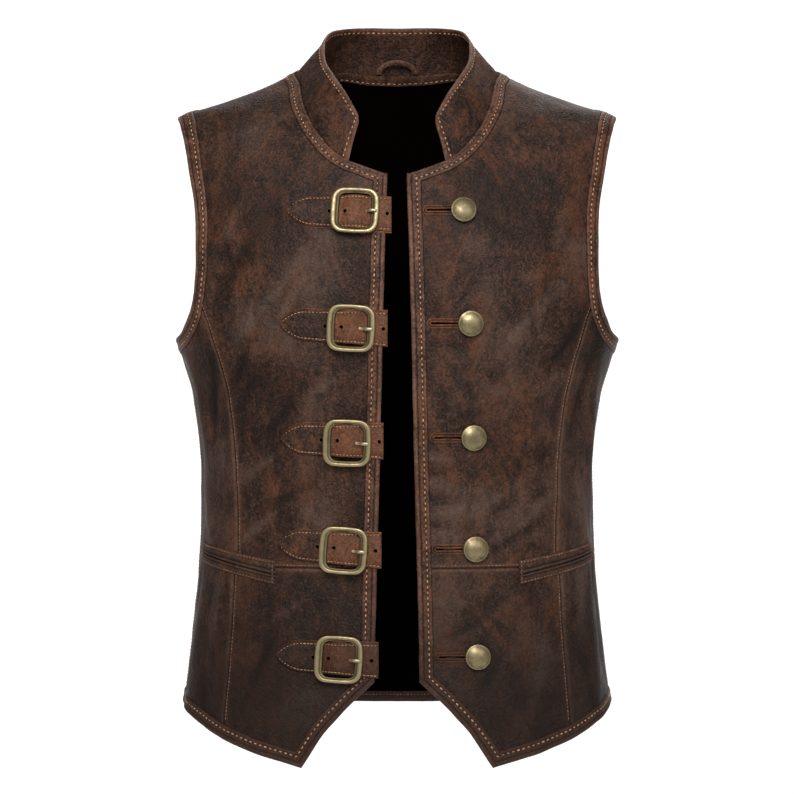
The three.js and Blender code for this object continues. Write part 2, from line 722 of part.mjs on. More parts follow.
/** A box in a local frame, as a closed mesh with shared corners. */
function block(frame, from, to) {
  const corner = (x, y, z) => new THREE.Vector3(x, y, z).applyMatrix4(frame);
  const ring = (y) => [
    corner(from[0], y, from[2]),
    corner(to[0], y, from[2]),
    corner(to[0], y, to[2]),
    corner(from[0], y, to[2]),
  ];
  return tubeSolid([ring(from[1]), ring(to[1])], SQUARE_OUTLINE, false);
}

const SQUARE_OUTLINE = [
  { inn: 0, out: 0 },
  { inn: 1, out: 0 },
  { inn: 1, out: 1 },
  { inn: 0, out: 1 },
];

// ---------------------------------------------------------------- pieces

const group = new THREE.Group();

function add(name, geometry, material) {
  const mesh = new THREE.Mesh(geometry, material);
  mesh.name = name;
  group.add(mesh);
}

/** The edges of one side that strips follow. */
function rimsOf(side) {
  const s = seams[side];
  const neck = join(flipped(s.neckCollar), flipped(s.neckFront));
  const edge = join(flipped(s.edgeUpper), flipped(s.edgeLower), s.slant, s.hemFront, s.hemSide);
  const armhole = join(flipped(s.armUnder), s.armFront, flipped(s.armBack)).slice(0, -1);
  const [neckPoint, tip, underarm] = [s.shoulder[0], s.shoulder.at(-1), s.sideUpper.at(-1)];
  return {
    neck: rim(neck, side, { after: edge[1], settled: [[neckPoint, s.shoulder[1]]] }),
    edge: rim(edge, side, { before: neck.at(-2), after: s.hemBack[1] }),
    armhole: rim(armhole, side, {
      closed: true,
      settled: [
        [tip, s.shoulder.at(-2)],
        [underarm, s.sideUpper.at(-2)],
      ],
    }),
  };
}

const rims = { [RIGHT]: rimsOf(RIGHT), [LEFT]: rimsOf(LEFT) };
const backNeck = join(seams[LEFT].neckBack, flipped(seams[RIGHT].neckBack));
const facingRim = stretch(
  rim(backNeck, RIGHT, { width: FACING_WIDTH }),
  (node) => node.turn > FACING_TURN,
);

function addPanels(side, hand) {
  const s = seams[side];
  const { neck, armhole } = rims[side];
  const frontLine = join(s.edgeUpper, s.neckFront, s.neckCollar);
  const frontUpper = patch(s.waistFront, join(s.princessUpper, s.armFront), s.shoulder, frontLine);
  add(`${hand}_front_upper`, panel(underRims(frontUpper, [neck, armhole])), leather);
  const frontLower = patch(join(s.slant, s.hemFront), s.princessLower, s.waistFrontLower, s.edgeLower);
  add(`${hand}_front_lower`, panel(frontLower), leather);
  const sideUpper = patch(s.waistSide, s.sideUpper, s.armUnder, s.princessUpper);
  const under = stretch(armhole, (node) => node.turn > UNDERARM.fromTurn && node.z < UNDERARM.belowZ);
  add(`${hand}_side_upper`, panel(underRims(sideUpper, [under])), leather);
  add(`${hand}_side_lower`, panel(patch(s.hemSide, s.sideLower, s.waistSideLower, s.princessLower)), leather);
  const outerLine = join(s.sideLower, s.sideUpper, s.armBack);
  const facingZ = facingRim.inner[(facingRim.inner.length - 1) / 2].z;
  const centreNode = (z) => ({ side, turn: 180, z });
  const centreBack = join(
    even(BACK_HEM.at(-1).z, CENTRE_UNDERARM_Z, STEPS.lower + STEPS.princess, centreNode),
    even(CENTRE_UNDERARM_Z, facingZ, STEPS.armUnderBack + STEPS.armBack - 1, centreNode),
    [centreNode(facingZ), centreNode(BACK_NECK.at(-1).z)],
  );
  const top = join(s.shoulderBack, s.neckBack);
  const back = patch(s.hemBack, centreBack, top, outerLine, BACK_POWER);
  const upright = stretch(armhole, (node) => node.z > UNDERARM.belowZ);
  add(`${hand}_back`, panel(underRims(back, [upright, facingRim])), leather);
}

// Outlines of the strips: flat on the panel, or folded over its edge.
const FLAT_STRIP = [
  { inn: SEAM_GAP, out: LAY_GAP },
  { inn: BAND_WIDTH, out: LAY_GAP },
  { inn: BAND_WIDTH, out: LAY_GAP + BAND_THICK },
  { inn: SEAM_GAP, out: LAY_GAP + BAND_THICK },
];
const wrap = (gap) => [
  { inn: BAND_WIDTH, out: gap },
  { inn: BAND_WIDTH, out: gap + BAND_THICK },
  { inn: -SEAM_GAP - BAND_THICK, out: gap + BAND_THICK },
  { inn: -SEAM_GAP - BAND_THICK, out: -WALL - INNER_GAP - BAND_THICK },
  { inn: INNER_LEG, out: -WALL - INNER_GAP - BAND_THICK },
  { inn: INNER_LEG, out: -WALL - INNER_GAP },
  { inn: -SEAM_GAP, out: -WALL - INNER_GAP },
  { inn: -SEAM_GAP, out: gap },
];
const FACING = [
  { inn: FACING_RIM, out: -WALL - FACING_GAP },
  { inn: FACING_WIDTH, out: -WALL - FACING_GAP },
  { inn: FACING_WIDTH, out: -WALL - FACING_GAP - BAND_THICK },
  { inn: FACING_RIM, out: -WALL - FACING_GAP - BAND_THICK },
];

function addBindings(side, hand) {
  const { neck, edge, armhole } = rims[side];
  add(`${hand}_neck_strip`, edging(neck, FLAT_STRIP), edgeLeather);
  add(`${hand}_front_binding`, edging(edge, wrap(LAY_GAP)), edgeLeather);
  add(`${hand}_armhole_binding`, edging(armhole, wrap(ARMHOLE_GAP)), edgeLeather);
}

function addBackTrims() {
  const [right, left] = [seams[RIGHT], seams[LEFT]];
  const hem = join(left.hemBack, flipped(right.hemBack));
  const ends = { before: left.hemSide.at(-2), after: right.hemSide.at(-2) };
  add('back_hem_binding', edging(rim(hem, LEFT, ends), wrap(LAY_GAP)), edgeLeather);
  add('back_neck_facing', edging(facingRim, FACING), edgeLeather);
}

// ---------------------------------------------------------------- collar and hanger loop

/** Evenly spaced points on the collar's top edge, from the left front corner round to the right one. */
function collarTop(count) {
  const half = COLLAR_TOP.map((row) => new THREE.Vector3(row.x, row.y, row.z));
  const other = COLLAR_TOP.slice(0, -1).map((row) => new THREE.Vector3(-row.x, row.y, row.z));
  const curve = new THREE.CatmullRomCurve3([...half, ...other.reverse()], false, 'centripetal');
  return curve.getSpacedPoints(count);
}

function addCollar() {
  const [right, left] = [seams[RIGHT], seams[LEFT]];
  const half = (s) => join(s.neckCollar, s.neckBack);
  const seat = join(half(left), flipped(half(right))).map((node) => onSkin(node));
  const top = collarTop(seat.length - 1);
  const rise = STEPS.collar;
  const middle = seat.map((low, k) => {
    const up = top[k].clone().sub(low).normalize();
    const along = seat[Math.min(k + 1, seat.length - 1)].clone().sub(seat[Math.max(k - 1, 0)]);
    const out = along.clone().cross(up).normalize();
    const foot = low.clone().addScaledVector(up, SEAM_GAP);
    return { foot, tip: top[k], out };
  });
  const face = (depth) =>
    middle.map(({ foot, tip, out }) =>
      even(0, 1, rise, (v) => {
        const swell = COLLAR_SWELL * 4 * v * (1 - v);
        return foot.clone().lerp(tip, v).addScaledVector(out, swell - depth);
      }),
    );
  add('collar', sheetSolid(face(0), face(COLLAR_THICK)), leather);
}

/** The loop stands on the facing and leans off the collar's inner face, so that a hook goes behind it. */
function addHangerLoop() {
  const foot = onSkin({ side: LEFT, turn: 180, z: BACK_NECK.at(-1).z });
  const head = new THREE.Vector3(0, COLLAR_TOP.at(-1).y, COLLAR_TOP.at(-1).z);
  const up = head.sub(foot).normalize();
  const inwards = new THREE.Vector3(0, -up.z, up.y);
  const base = foot.clone().addScaledVector(up, LOOP_BASE);
  base.addScaledVector(inwards, COLLAR_THICK + LOOP_CLEAR);
  const rings = even(0, Math.PI, LOOP_STEPS, (angle) => {
    const lift = LOOP.lean * Math.sin(angle);
    const at = (size, depth) =>
      base
        .clone()
        .add(new THREE.Vector3(-Math.cos(angle) * (LOOP.halfWidth + size), 0, 0))
        .addScaledVector(up, Math.sin(angle) * (LOOP.height + size))
        .addScaledVector(inwards, lift + depth);
    const half = LOOP.strip / 2;
    return [at(-half, 0), at(half, 0), at(half, LOOP.thick), at(-half, LOOP.thick)];
  });
  add('hanger_loop', tubeSolid(rings, SQUARE_OUTLINE, false), edgeLeather);
}

// ---------------------------------------------------------------- pockets

function addPocket(side, hand) {
  const { top, slit, bottom } = POCKET_LINES;
  const line = (row, shift) =>
    even(0, 1, POCKET_STEPS, (u) => ({
      side,
      turn: lerp(POCKET.inner, POCKET.outer, u),
      z: lerp(row.inner, row.outer, u) + shift,
    }));
  const between = (low, high) => [low, low.map((node, k) => middleNode(node, high[k])), high];
  const upper = between(line(slit, SLIT_GAP / 2), line(top, 0));
  const lower = between(line(bottom, 0), line(slit, -SLIT_GAP / 2));
  add(`${hand}_pocket_welt_upper`, panel(upper, LAY_GAP + WELT_THICK, LAY_GAP), edgeLeather);
  add(`${hand}_pocket_welt_lower`, panel(lower, LAY_GAP + WELT_THICK, LAY_GAP), edgeLeather);
}

function middleNode(a, b) {
  return { side: a.side, turn: (a.turn + b.turn) / 2, z: (a.z + b.z) / 2 };
}

// ---------------------------------------------------------------- straps, buckles and prongs

/** A frame on the right front: X towards the front edge, Y into the body, Z up, tilted with the strap. */
function strapFrame(strap) {
  const node = frontNode(RIGHT, strap.x, strap.z);
  const { normal } = slopes(skin, RIGHT, node.turn, node.z);
  const inward = normal.clone().negate();
  const across = new THREE.Vector3(0, 0, 1).cross(inward).negate().normalize();
  const up = across.clone().cross(inward).normalize();
  const frame = new THREE.Matrix4().makeBasis(across, inward, up);
  frame.multiply(new THREE.Matrix4().makeRotationY(degToRad(strap.tilt)));
  return frame.setPosition(onSkin(node));
}

/** How high the strap's underside lies over the panel, u millimetres from the buckle's middle. */
const strapHeight = column(
  [
    { u: -46, out: STRAP_LOW },
    { u: -30, out: STRAP_LOW },
    { u: -21, out: STRAP_MID },
    { u: -14, out: STRAP_MID + 0.4 },
    { u: -4, out: STRAP_HIGH - 0.5 },
    { u: 0, out: STRAP_HIGH },
    { u: 4, out: STRAP_HIGH - 0.5 },
    { u: 14, out: STRAP_MID + 0.2 },
    { u: 19, out: STRAP_MID },
    { u: 40, out: STRAP_MID },
  ],
  'out',
  'u',
);

const POINT_POWER = 0.72; // below 1 it rounds the pointed end's sides
const BLUNT_TIP = 0.04;

/** Half the strap's width, a distance from its tip. */
function strapHalfWidth(fromTip) {
  const share = Math.min(fromTip / STRAP_POINT, 1);
  const flare = Math.max(fromTip - STRAP_POINT, 0) * STRAP_FLARE;
  return (STRAP_WIDTH / 2) * Math.max(Math.sin((share * Math.PI) / 2) ** POINT_POWER, BLUNT_TIP) + flare / 2;
}

// Places of the strap's cross rows: along its pointed end from the tip, and from the buckle's middle.
const POINT_MARKS = [0, 1.5, 4, 8, 14, STRAP_POINT];
const STRAP_MARKS = [-34, -30, -25, -21, -17, -13, -9, -5, 0, 5, 9, 13, 17, 21];
const MARK_GAP = 2; // least distance between the two kinds

function addStrap(strap, number) {
  const tip = -(strap.tip - strap.x);
  const end = strap.x - strap.end;
  const point = POINT_MARKS.map((d) => tip + d);
  const marks = [...point, ...STRAP_MARKS.filter((u) => u > point.at(-1) + MARK_GAP), end];
  const tilt = Math.tan(degToRad(strap.tilt));
  const row = (u, out) => {
    const half = strapHalfWidth(u - tip);
    return even(-half, half, 2, (v) => {
      const node = frontNode(RIGHT, strap.x - u, strap.z + v - u * tilt);
      return onSkin(node, strapHeight(u) + out);
    });
  };
  const blank = sheetSolid(
    marks.map((u) => row(u, STRAP_THICK)),
    marks.map((u) => row(u, 0)),
  );
  const frame = strapFrame(strap);
  const slotHalf = SLOT.width / 2;
  const slotFrom = [SLOT.from, CUT_DEPTH.outside, -slotHalf];
  const slotTo = [SLOT.to, CUT_DEPTH.inside, slotHalf];
  let solid = toManifold(blank).subtract(toManifold(block(frame, slotFrom, slotTo)));
  for (const u of STRAP_HOLES.filter((hole) => hole < end - HOLE_MARGIN)) {
    solid = solid.subtract(toManifold(pin(frame, u, HOLE_RADIUS)));
  }
  add(`strap_${number}`, fromManifold(solid), strapLeather);
}

/** A round pin through the strap, in its frame. */
function pin(frame, u, radius) {
  const length = CUT_DEPTH.inside - CUT_DEPTH.outside;
  const shape = new THREE.CylinderGeometry(radius, radius, length, PIN_SIDES);
  return welded(shape.translate(u, (CUT_DEPTH.inside + CUT_DEPTH.outside) / 2, 0).applyMatrix4(frame));
}

const CORNER_STEPS = 3;

/** A rounded rectangle whose sides swell slightly, as a closed row of points. */
function roundedOutline(width, height, corner, swell) {
  const points = [];
  for (const [sx, sz, from] of [[1, 1, 0], [-1, 1, 1], [-1, -1, 2], [1, -1, 3]]) {
    for (let i = 0; i <= CORNER_STEPS; i += 1) {
      const angle = ((from + i / CORNER_STEPS) * Math.PI) / 2;
      const x = sx * (width / 2 - corner) + corner * Math.cos(angle);
      const z = sz * (height / 2 - corner) + corner * Math.sin(angle);
      points.push(new THREE.Vector2(x, z));
    }
    const [mx, mz] = from % 2 === 0 ? [0, sz * (height / 2 + swell)] : [sx * (width / 2 + swell), 0];
    points.push(new THREE.Vector2(mx, mz));
  }
  return points;
}

/** The frame of the buckle with its centre bar, in one piece. */
function addBuckle(strap, number) {
  const { width, height, corner, sideBar, endBar, thick, low } = BUCKLE;
  const [windowWidth, windowHeight] = [width - 2 * sideBar, height - 2 * endBar];
  const outer = roundedOutline(width, height, corner, BUCKLE_SWELL.outer);
  const inner = roundedOutline(windowWidth, windowHeight, BUCKLE_WINDOW_CORNER, BUCKLE_SWELL.inner);
  const levels = [
    { out: low, draw: BUCKLE_BEVEL.inside },
    { out: low + BUCKLE_BEVEL.inside, draw: 0 },
    { out: low + thick - BUCKLE_BEVEL.outside, draw: 0 },
    { out: low + thick, draw: BUCKLE_BEVEL.outside },
  ];
  const frame = strapFrame(strap);
  const drawn = (outline, draw, sign) =>
    outline.map((p) => {
      const size = p.length();
      return p.clone().multiplyScalar((size + sign * draw) / size);
    });
  const around = outer.map((_, i) => {
    const ring = [];
    for (const level of levels) {
      const p = drawn(outer, level.draw, -1)[i];
      ring.push(new THREE.Vector3(p.x, -level.out, p.y).applyMatrix4(frame));
    }
    for (const level of [...levels].reverse()) {
      const p = drawn(inner, level.draw, 1)[i];
      ring.push(new THREE.Vector3(p.x, -level.out, p.y).applyMatrix4(frame));
    }
    return ring;
  });
  const hoop = tubeSolid(around, around[0], true);
  const reach = height / 2 - endBar / 2;
  const bar = new THREE.CylinderGeometry(CENTRE_BAR_RADIUS, CENTRE_BAR_RADIUS, 2 * reach, PIN_SIDES);
  bar.rotateX(Math.PI / 2).translate(0, -CENTRE_BAR_HEIGHT, 0).applyMatrix4(frame);
  const solid = toManifold(hoop).add(toManifold(welded(bar)));
  add(`buckle_${number}`, fromManifold(solid), brass);
}

/** Merges a geometry's shared corners, keeping only their places. */
function welded(geometry) {
  const places = new Map();
  const points = [];
  const index = [];
  const position = geometry.attributes.position;
  for (const i of geometry.index.array) {
    const p = new THREE.Vector3().fromBufferAttribute(position, i);
    const key = p.toArray().map((value) => Math.round(value * 1e4)).join();
    if (!places.has(key)) places.set(key, points.push(p) - 1);
    index.push(places.get(key));
  }
  const triangles = [];
  for (let i = 0; i < index.length; i += 3) {
    const [a, b, c] = index.slice(i, i + 3);
    if (a !== b && b !== c && c !== a) triangles.push([a, b, c]);
  }
  return closedMesh(points, triangles);
}

const PRONG_LIFT = 0.2; // of the tongue's underside over the middle of the centre bar

/** The prong: a ring round the centre bar and a tongue that comes up through the strap to the front bar. */
function addProng(strap, number) {
  const frame = strapFrame(strap);
  const half = PRONG.width / 2;
  const top = BUCKLE.low + BUCKLE.thick + SEAM_GAP;
  const root = CENTRE_BAR_HEIGHT + PRONG_LIFT;
  const path = [
    { u: CENTRE_BAR_RADIUS * 2, out: root, taper: 1 },
    { u: PRONG.rise, out: root, taper: 1 },
    { u: PRONG.rest, out: top, taper: 1 },
    { u: PRONG.reach, out: top, taper: PRONG.tip },
  ];
  const rings = path.map(({ u, out, taper }) => {
    const at = (y, z) => new THREE.Vector3(u, -y, z * taper).applyMatrix4(frame);
    return [at(out, -half), at(out, half), at(out + PRONG.thick, half), at(out + PRONG.thick, -half)];
  });
  const tongue = tubeSolid(rings, SQUARE_OUTLINE, false);
  const innerRadius = CENTRE_BAR_RADIUS + SEAM_GAP;
  const hoop = Array.from({ length: PIN_SIDES }, (_, i) => {
    const angle = (i / PIN_SIDES) * 2 * Math.PI;
    const at = (r, z) =>
      new THREE.Vector3(r * Math.cos(angle), -CENTRE_BAR_HEIGHT - r * Math.sin(angle), z).applyMatrix4(frame);
    return [at(innerRadius, -half), at(PRONG.ring, -half), at(PRONG.ring, half), at(innerRadius, half)];
  });
  const solid = toManifold(tongue).add(toManifold(tubeSolid(hoop, SQUARE_OUTLINE, true)));
  add(`prong_${number}`, fromManifold(solid), brass);
}

// ---------------------------------------------------------------- buttons and buttonholes

// From the foot of the shank, round the rolled rim and over the dome.
const BUTTON_PROFILE = [
  { radius: 0, out: LAY_GAP },
  { radius: SHANK_RADIUS, out: LAY_GAP },
  { radius: SHANK_RADIUS, out: SHANK_HEIGHT },
  { radius: BUTTON_RADIUS - 1, out: SHANK_HEIGHT },
  { radius: BUTTON_RADIUS, out: 3 },
  { radius: BUTTON_RADIUS - 0.4, out: 4 },
  { radius: BUTTON_RADIUS - 2, out: 4.6 },
  { radius: BUTTON_RADIUS - 4.5, out: 6.2 },
  { radius: BUTTON_RADIUS - 8, out: 7 },
  { radius: 0, out: BUTTON_HEIGHT },
];

/** A domed button on a short shank, turned about the panel's normal. */
function addButton(button, number) {
  const node = frontNode(LEFT, button.x, button.z);
  const { normal } = slopes(skin, LEFT, node.turn, node.z);
  const profile = BUTTON_PROFILE.map(({ radius, out }) => new THREE.Vector2(radius, out));
  const turned = new THREE.LatheGeometry(profile, BUTTON_SIDES);
  const upright = new THREE.Quaternion().setFromUnitVectors(new THREE.Vector3(0, 1, 0), normal);
  turned.applyQuaternion(upright);
  const place = onSkin(node);
  turned.translate(place.x, place.y, place.z);
  add(`button_${number}`, welded(turned), brass);
}

/** The two lips of a bound buttonhole, joined at their ends, round a narrow slit. */
function addButtonhole(button, number) {
  const middle = button.hole + BUTTONHOLE_LENGTH / 2;
  const radius = BUTTONHOLE_HEIGHT / 2;
  const straight = BUTTONHOLE_LENGTH / 2 - radius;
  const outline = [];
  for (const [centre, from] of [[straight, -90], [-straight, 90]]) {
    for (const turn of LIP_TURNS) {
      const angle = degToRad(from + turn);
      outline.push([middle + centre + radius * Math.cos(angle), radius * Math.sin(angle)]);
    }
  }
  const row = outline.map(([x, z]) => frontNode(LEFT, x, button.z + z));
  const profile = [
    { inn: 0, out: LAY_GAP },
    { inn: LIP_WIDTH, out: LAY_GAP },
    { inn: LIP_WIDTH, out: LAY_GAP + LIP_THICK },
    { inn: 0, out: LAY_GAP + LIP_THICK },
  ];
  const lips = rim(row, LEFT, { width: LIP_WIDTH, closed: true });
  add(`buttonhole_${number}`, edging(lips, profile), edgeLeather);
}

// ---------------------------------------------------------------- the vest

addPanels(RIGHT, 'right');
addPanels(LEFT, 'left');
addBindings(RIGHT, 'right');
addBindings(LEFT, 'left');
addBackTrims();
addCollar();
addHangerLoop();
addPocket(RIGHT, 'right');
addPocket(LEFT, 'left');
STRAPS.forEach((strap, i) => {
  addStrap(strap, i + 1);
  addBuckle(strap, i + 1);
  addProng(strap, i + 1);
});
BUTTONS.forEach((button, i) => {
  addButton(button, i + 1);
  addButtonhole(button, i + 1);
});

export default group;
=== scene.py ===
"""Dresses the leather vest: panels, bindings, collar, straps, buckles, buttons and stitching."""

import math

import bpy
import numpy as np
from mathutils import Matrix, Vector


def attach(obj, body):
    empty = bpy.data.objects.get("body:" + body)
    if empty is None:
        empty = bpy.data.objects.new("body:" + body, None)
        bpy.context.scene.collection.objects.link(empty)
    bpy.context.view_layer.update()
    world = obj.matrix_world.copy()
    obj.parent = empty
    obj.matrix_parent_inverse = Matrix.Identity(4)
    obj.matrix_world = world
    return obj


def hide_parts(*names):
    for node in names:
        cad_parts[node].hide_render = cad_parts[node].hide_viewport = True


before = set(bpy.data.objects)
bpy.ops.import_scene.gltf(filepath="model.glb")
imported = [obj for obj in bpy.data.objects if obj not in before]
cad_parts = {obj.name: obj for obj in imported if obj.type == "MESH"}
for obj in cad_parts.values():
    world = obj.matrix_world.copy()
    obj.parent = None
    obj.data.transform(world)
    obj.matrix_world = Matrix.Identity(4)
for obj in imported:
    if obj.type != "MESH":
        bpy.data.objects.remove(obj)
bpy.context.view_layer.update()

bl_info = {
    "name": "Leather vest",
    "version": (1, 0, 0),
    "blender": (4, 5, 0),
    "location": "View3D > Sidebar > Vest",
    "description": "Builds a buckled leather vest with its bindings, straps, brass and stitching",
    "category": "Add Mesh",
}

# ------------------------------------------------------------------ sizes, in millimetres

MM = 0.001
RIGHT, LEFT = -1, 1  # the wearer's
HANDS = {RIGHT: "right", LEFT: "left"}
WALL = 2.0
SEAM_GAP = 0.3
BAND_WIDTH = 11.5
COLLAR_THICK = 2.4
SQUARENESS = 2.4  # power of the body's sections, where 2 is an ellipse
DEGREE_LENGTH = 2.8  # about a degree's length round the body
FOLD_RADIUS = 150  # about the body's radius, for the folds' widths
FINE = 6  # steps of a seam for each step of its solid
FAR = 99.0  # further than any seam's roll reaches
SHARP = 60  # degrees from which a strip's edges stay sharp


def table(names, *rows):
    """Rows as dictionaries, by the names of the columns."""
    return [dict(zip(names.split(), row)) for row in rows]


def level(rows, name):
    """One column of a table, laid out as a row of an array."""
    return np.array([row[name] for row in rows])[None, :]


# Level sections of the body: half the breadth, depths before and behind the side line, rise to the back.
TORSO = table(
    "z half front back rise",
    (14, 56, 4, 4, 40), (0, 92, 15, 17, 40), (-16, 126.5, 35, 45, 40), (-30, 165, 49, 72, 40),
    (-43, 203.5, 61, 85, 38), (-60, 222, 75, 93, 34), (-80, 227, 87, 100, 27), (-103, 224, 99, 106, 19),
    (-150, 217, 114, 113, 6), (-200, 213, 122, 114, 0), (-232, 212, 124, 113, 0),
    (-256, 207.5, 124, 112, 0), (-280, 201, 123, 110, 0), (-308, 193, 122, 107, 0),
    (-378, 185.5, 119, 101, 0), (-415, 185.5, 118, 99, 0), (-464, 188, 118.5, 101, 0),
    (-512, 192, 120, 105, 0), (-560, 197, 122, 109, 0), (-600, 202, 124, 112, 0),
    (-660, 208, 126, 115, 0),
)

# The largest folds, as in the solids: centre, half width and length, lean from upright, height.
FOLDS = {
    RIGHT: table(
        "turn z wide long lean deep",
        (75, -335, 9, 60, 6, 3.2), (83, -390, 8, 70, -5, -3), (69, -410, 10, 45, 8, -2),
        (76, -540, 11, 60, -4, 3), (84, -560, 8, 50, 4, -2.4), (52, -300, 16, 46, 32, -1.6),
        (104, -350, 11, 70, -8, 3), (118, -430, 12, 60, 10, -2.6), (150, -455, 44, 11, 8, 2.2),
        (138, -215, 13, 46, 24, -2),
    ),
    LEFT: table(
        "turn z wide long lean deep",
        (77, -345, 9, 66, -7, 3.4), (84, -400, 9, 60, 5, -2.8), (68, -395, 10, 50, -9, -2.2),
        (74, -550, 10, 64, 5, 2.8), (83, -535, 8, 52, -4, -2.6), (50, -398, 40, 12, 12, 1.5),
        (106, -365, 12, 62, 9, 2.8), (121, -415, 11, 66, -9, -2.8), (148, -478, 40, 12, -10, -2),
        (140, -205, 12, 50, -22, 2),
    ),
}

# Creases worn into the leather, finer than the folds.
CREASES = {
    RIGHT: table(
        "turn z wide long lean deep",
        (30, -300, 3.8, 20, 118, 0.6), (46, -330, 4.6, 30, -40, -0.8), (52, -372, 4.4, 26, -52, 0.8),
        (43, -400, 4.2, 28, -60, -0.8), (54, -430, 4.4, 24, -48, 0.9), (50, -230, 5.0, 34, -34, 0.9),
        (57, -184, 5.2, 34, -22, -0.9), (60, -146, 5.0, 30, -10, 0.8), (38, -160, 5.0, 26, 50, -0.6),
        (56, -275, 4.6, 32, -26, -0.9), (44, -508, 4.4, 28, -54, 0.8), (50, -548, 4.4, 34, -20, -0.9),
        (38, -590, 4.2, 22, -64, 0.8), (68, -310, 4.4, 40, -8, -1.1), (74, -425, 4.6, 34, 12, 1.1),
        (80, -490, 4.4, 30, -10, -1.0), (68, -515, 4.4, 36, -4, 1.0), (70, -585, 4.6, 28, 6, -0.9),
        (112, -300, 5.4, 40, -28, 1.0), (128, -340, 5.4, 44, -50, -1.0), (145, -400, 4.8, 36, -76, 0.9),
        (160, -430, 4.6, 30, -88, -0.9), (120, -520, 5.0, 44, -16, 0.9), (150, -540, 5.0, 34, 40, -0.8),
        (130, -150, 5.4, 36, 34, 0.8), (155, -120, 5.0, 34, 74, -0.7),
    ),
    LEFT: table(
        "turn z wide long lean deep",
        (13, -352, 3.2, 15, 78, -0.9), (17, -366, 3.6, 19, 97, 0.9), (14, -379, 3.0, 17, 84, -1.0),
        (20, -392, 4.0, 21, 101, 0.8), (15, -404, 3.2, 15, 92, -1.1), (22, -415, 3.4, 18, 74, 0.9),
        (16, -427, 3.8, 20, 95, -0.9), (24, -436, 3.0, 13, 110, 0.7), (34, -421, 3.6, 24, 62, -0.8),
        (41, -404, 4.4, 28, 50, 0.9), (47, -438, 4.0, 26, 58, -0.9), (54, -412, 4.2, 22, 44, 0.8),
        (29, -327, 3.4, 16, 70, -0.6), (36, -300, 3.8, 22, 118, 0.6), (22, -262, 3.4, 14, 96, -0.6),
        (49, -235, 5.0, 34, 35, 0.9), (56, -190, 5.4, 36, 22, -0.9), (60, -150, 5.0, 30, 12, 0.8),
        (40, -150, 5.0, 30, 130, -0.6), (58, -268, 4.6, 34, 28, -0.9), (20, -500, 3.6, 22, 84, 0.8),
        (30, -520, 4.2, 26, 66, -0.9), (42, -505, 4.4, 26, 52, 0.8), (38, -560, 4.4, 30, 30, -0.9),
        (52, -575, 4.6, 34, 14, 0.9), (25, -575, 3.8, 20, 122, 0.7), (68, -300, 4.4, 40, 8, -1.1),
        (73, -420, 4.6, 34, -12, 1.1), (80, -480, 4.4, 30, 10, -1.0), (69, -500, 4.4, 36, 4, 1.0),
        (70, -590, 4.6, 28, -6, -0.9), (110, -305, 5.4, 40, 26, 1.0), (127, -350, 5.4, 42, 52, -1.0),
        (146, -392, 4.8, 34, 78, 0.9), (162, -440, 4.6, 28, 90, -0.9), (122, -515, 5.0, 40, 18, 0.9),
        (152, -550, 5.0, 34, -42, -0.8), (132, -155, 5.4, 34, -36, 0.8),
        (158, -130, 5.0, 30, -70, -0.7),
    ),
}

# Edges and seams, as in the solids. x is level from the middle of the front, turn is in degrees round.
FRONT_EDGE = table(
    "z x",
    (-103, 10.2), (-205, 13.5), (-300, 15.7), (-380, 17.5), (-450, 19.5), (-510, 21), (-570, 22.3),
)
FRONT_NECK = table("x z", (10.2, -103), (26, -97.5), (45, -90))
COLLAR_NECK = table(
    "x z", (45, -90), (58, -81), (70, -67.5), (79.5, -53), (86.5, -37), (90.8, -16), (92, 0),
)
BACK_NECK = table(
    "turn z", (90, 0), (100, -5.5), (110, -11), (122, -20), (135, -28), (155, -33.5), (180, -35),
)
SHOULDER_TIP_Z = -43
ARMHOLE_FRONT = table(
    "turn z",
    (69.5, -212), (69, -184), (70, -137), (72.1, -108), (75.2, -79), (79.5, -58), (83, -49.5),
    (90, SHOULDER_TIP_Z),
)
ARMHOLE_UNDER = table("turn z", (69.5, -212), (71.2, -232), (77, -249), (90, -256))
ARMHOLE_UNDER_BACK = table("turn z", (90, -256), (98, -250), (104, -230), (107, -200))
ARMHOLE_BACK = table(
    "turn z",
    (107, -200), (108, -150), (107.8, -107), (106.3, -79), (103, -60), (99.3, -51), (90, SHOULDER_TIP_Z),
)
PRINCESS_UPPER = table(
    "turn z",
    (60.2, -464), (60.8, -430), (61.3, -377), (62, -320), (63.1, -284), (64.6, -256), (66.3, -233),
    (69.5, -212),
)
PRINCESS_LOWER_TURN = 61.4
WAIST = table("turn z", (0, -467), (48, -466), (60, -464), (76, -457), (90, -455))
SLANT = table("x z", (22.3, -570), (42, -588.5), (67.5, -616), (89, -648))
FRONT_HEM = table("turn z", (36.8, -648), (43.1, -643), (51.3, -636), (PRINCESS_LOWER_TURN, -624.5))
SIDE_HEM = table("turn z", (PRINCESS_LOWER_TURN, -624.5), (67, -616.5), (75, -605.8), (82, -599), (90, -595))
BACK_HEM = table("turn z", (90, -595), (104, -596), (125, -600.5), (152, -605), (180, -606))
COLLAR_TOP = (
    (34.5, -87, -50), (47.5, -73, -26), (58.5, -54, -9), (67.5, -31, 7), (69.5, -10, 22), (68.5, 10, 33),
    (62.5, 32, 42), (50, 49, 46), (28, 62, 48), (0, 67, 48),
)
COLLAR_SWELL = 1.5
BACK_POWER = 4  # gathers the back's slanting rows near its neck
SIDE_GRADING = 1.3  # spreads the hem's nodes towards the middle of the back
CENTRE_UNDERARM_Z = -264
STEPS = {
    "edgeUpper": 16, "neckFront": 2, "neckCollar": 7, "princess": 12, "armFront": 13, "armUnder": 6,
    "armUnderBack": 6, "armBack": 8, "lower": 6, "across": 11, "slant": 6, "side": 6,
    "shoulderBack": 6, "neckBack": 7,
}

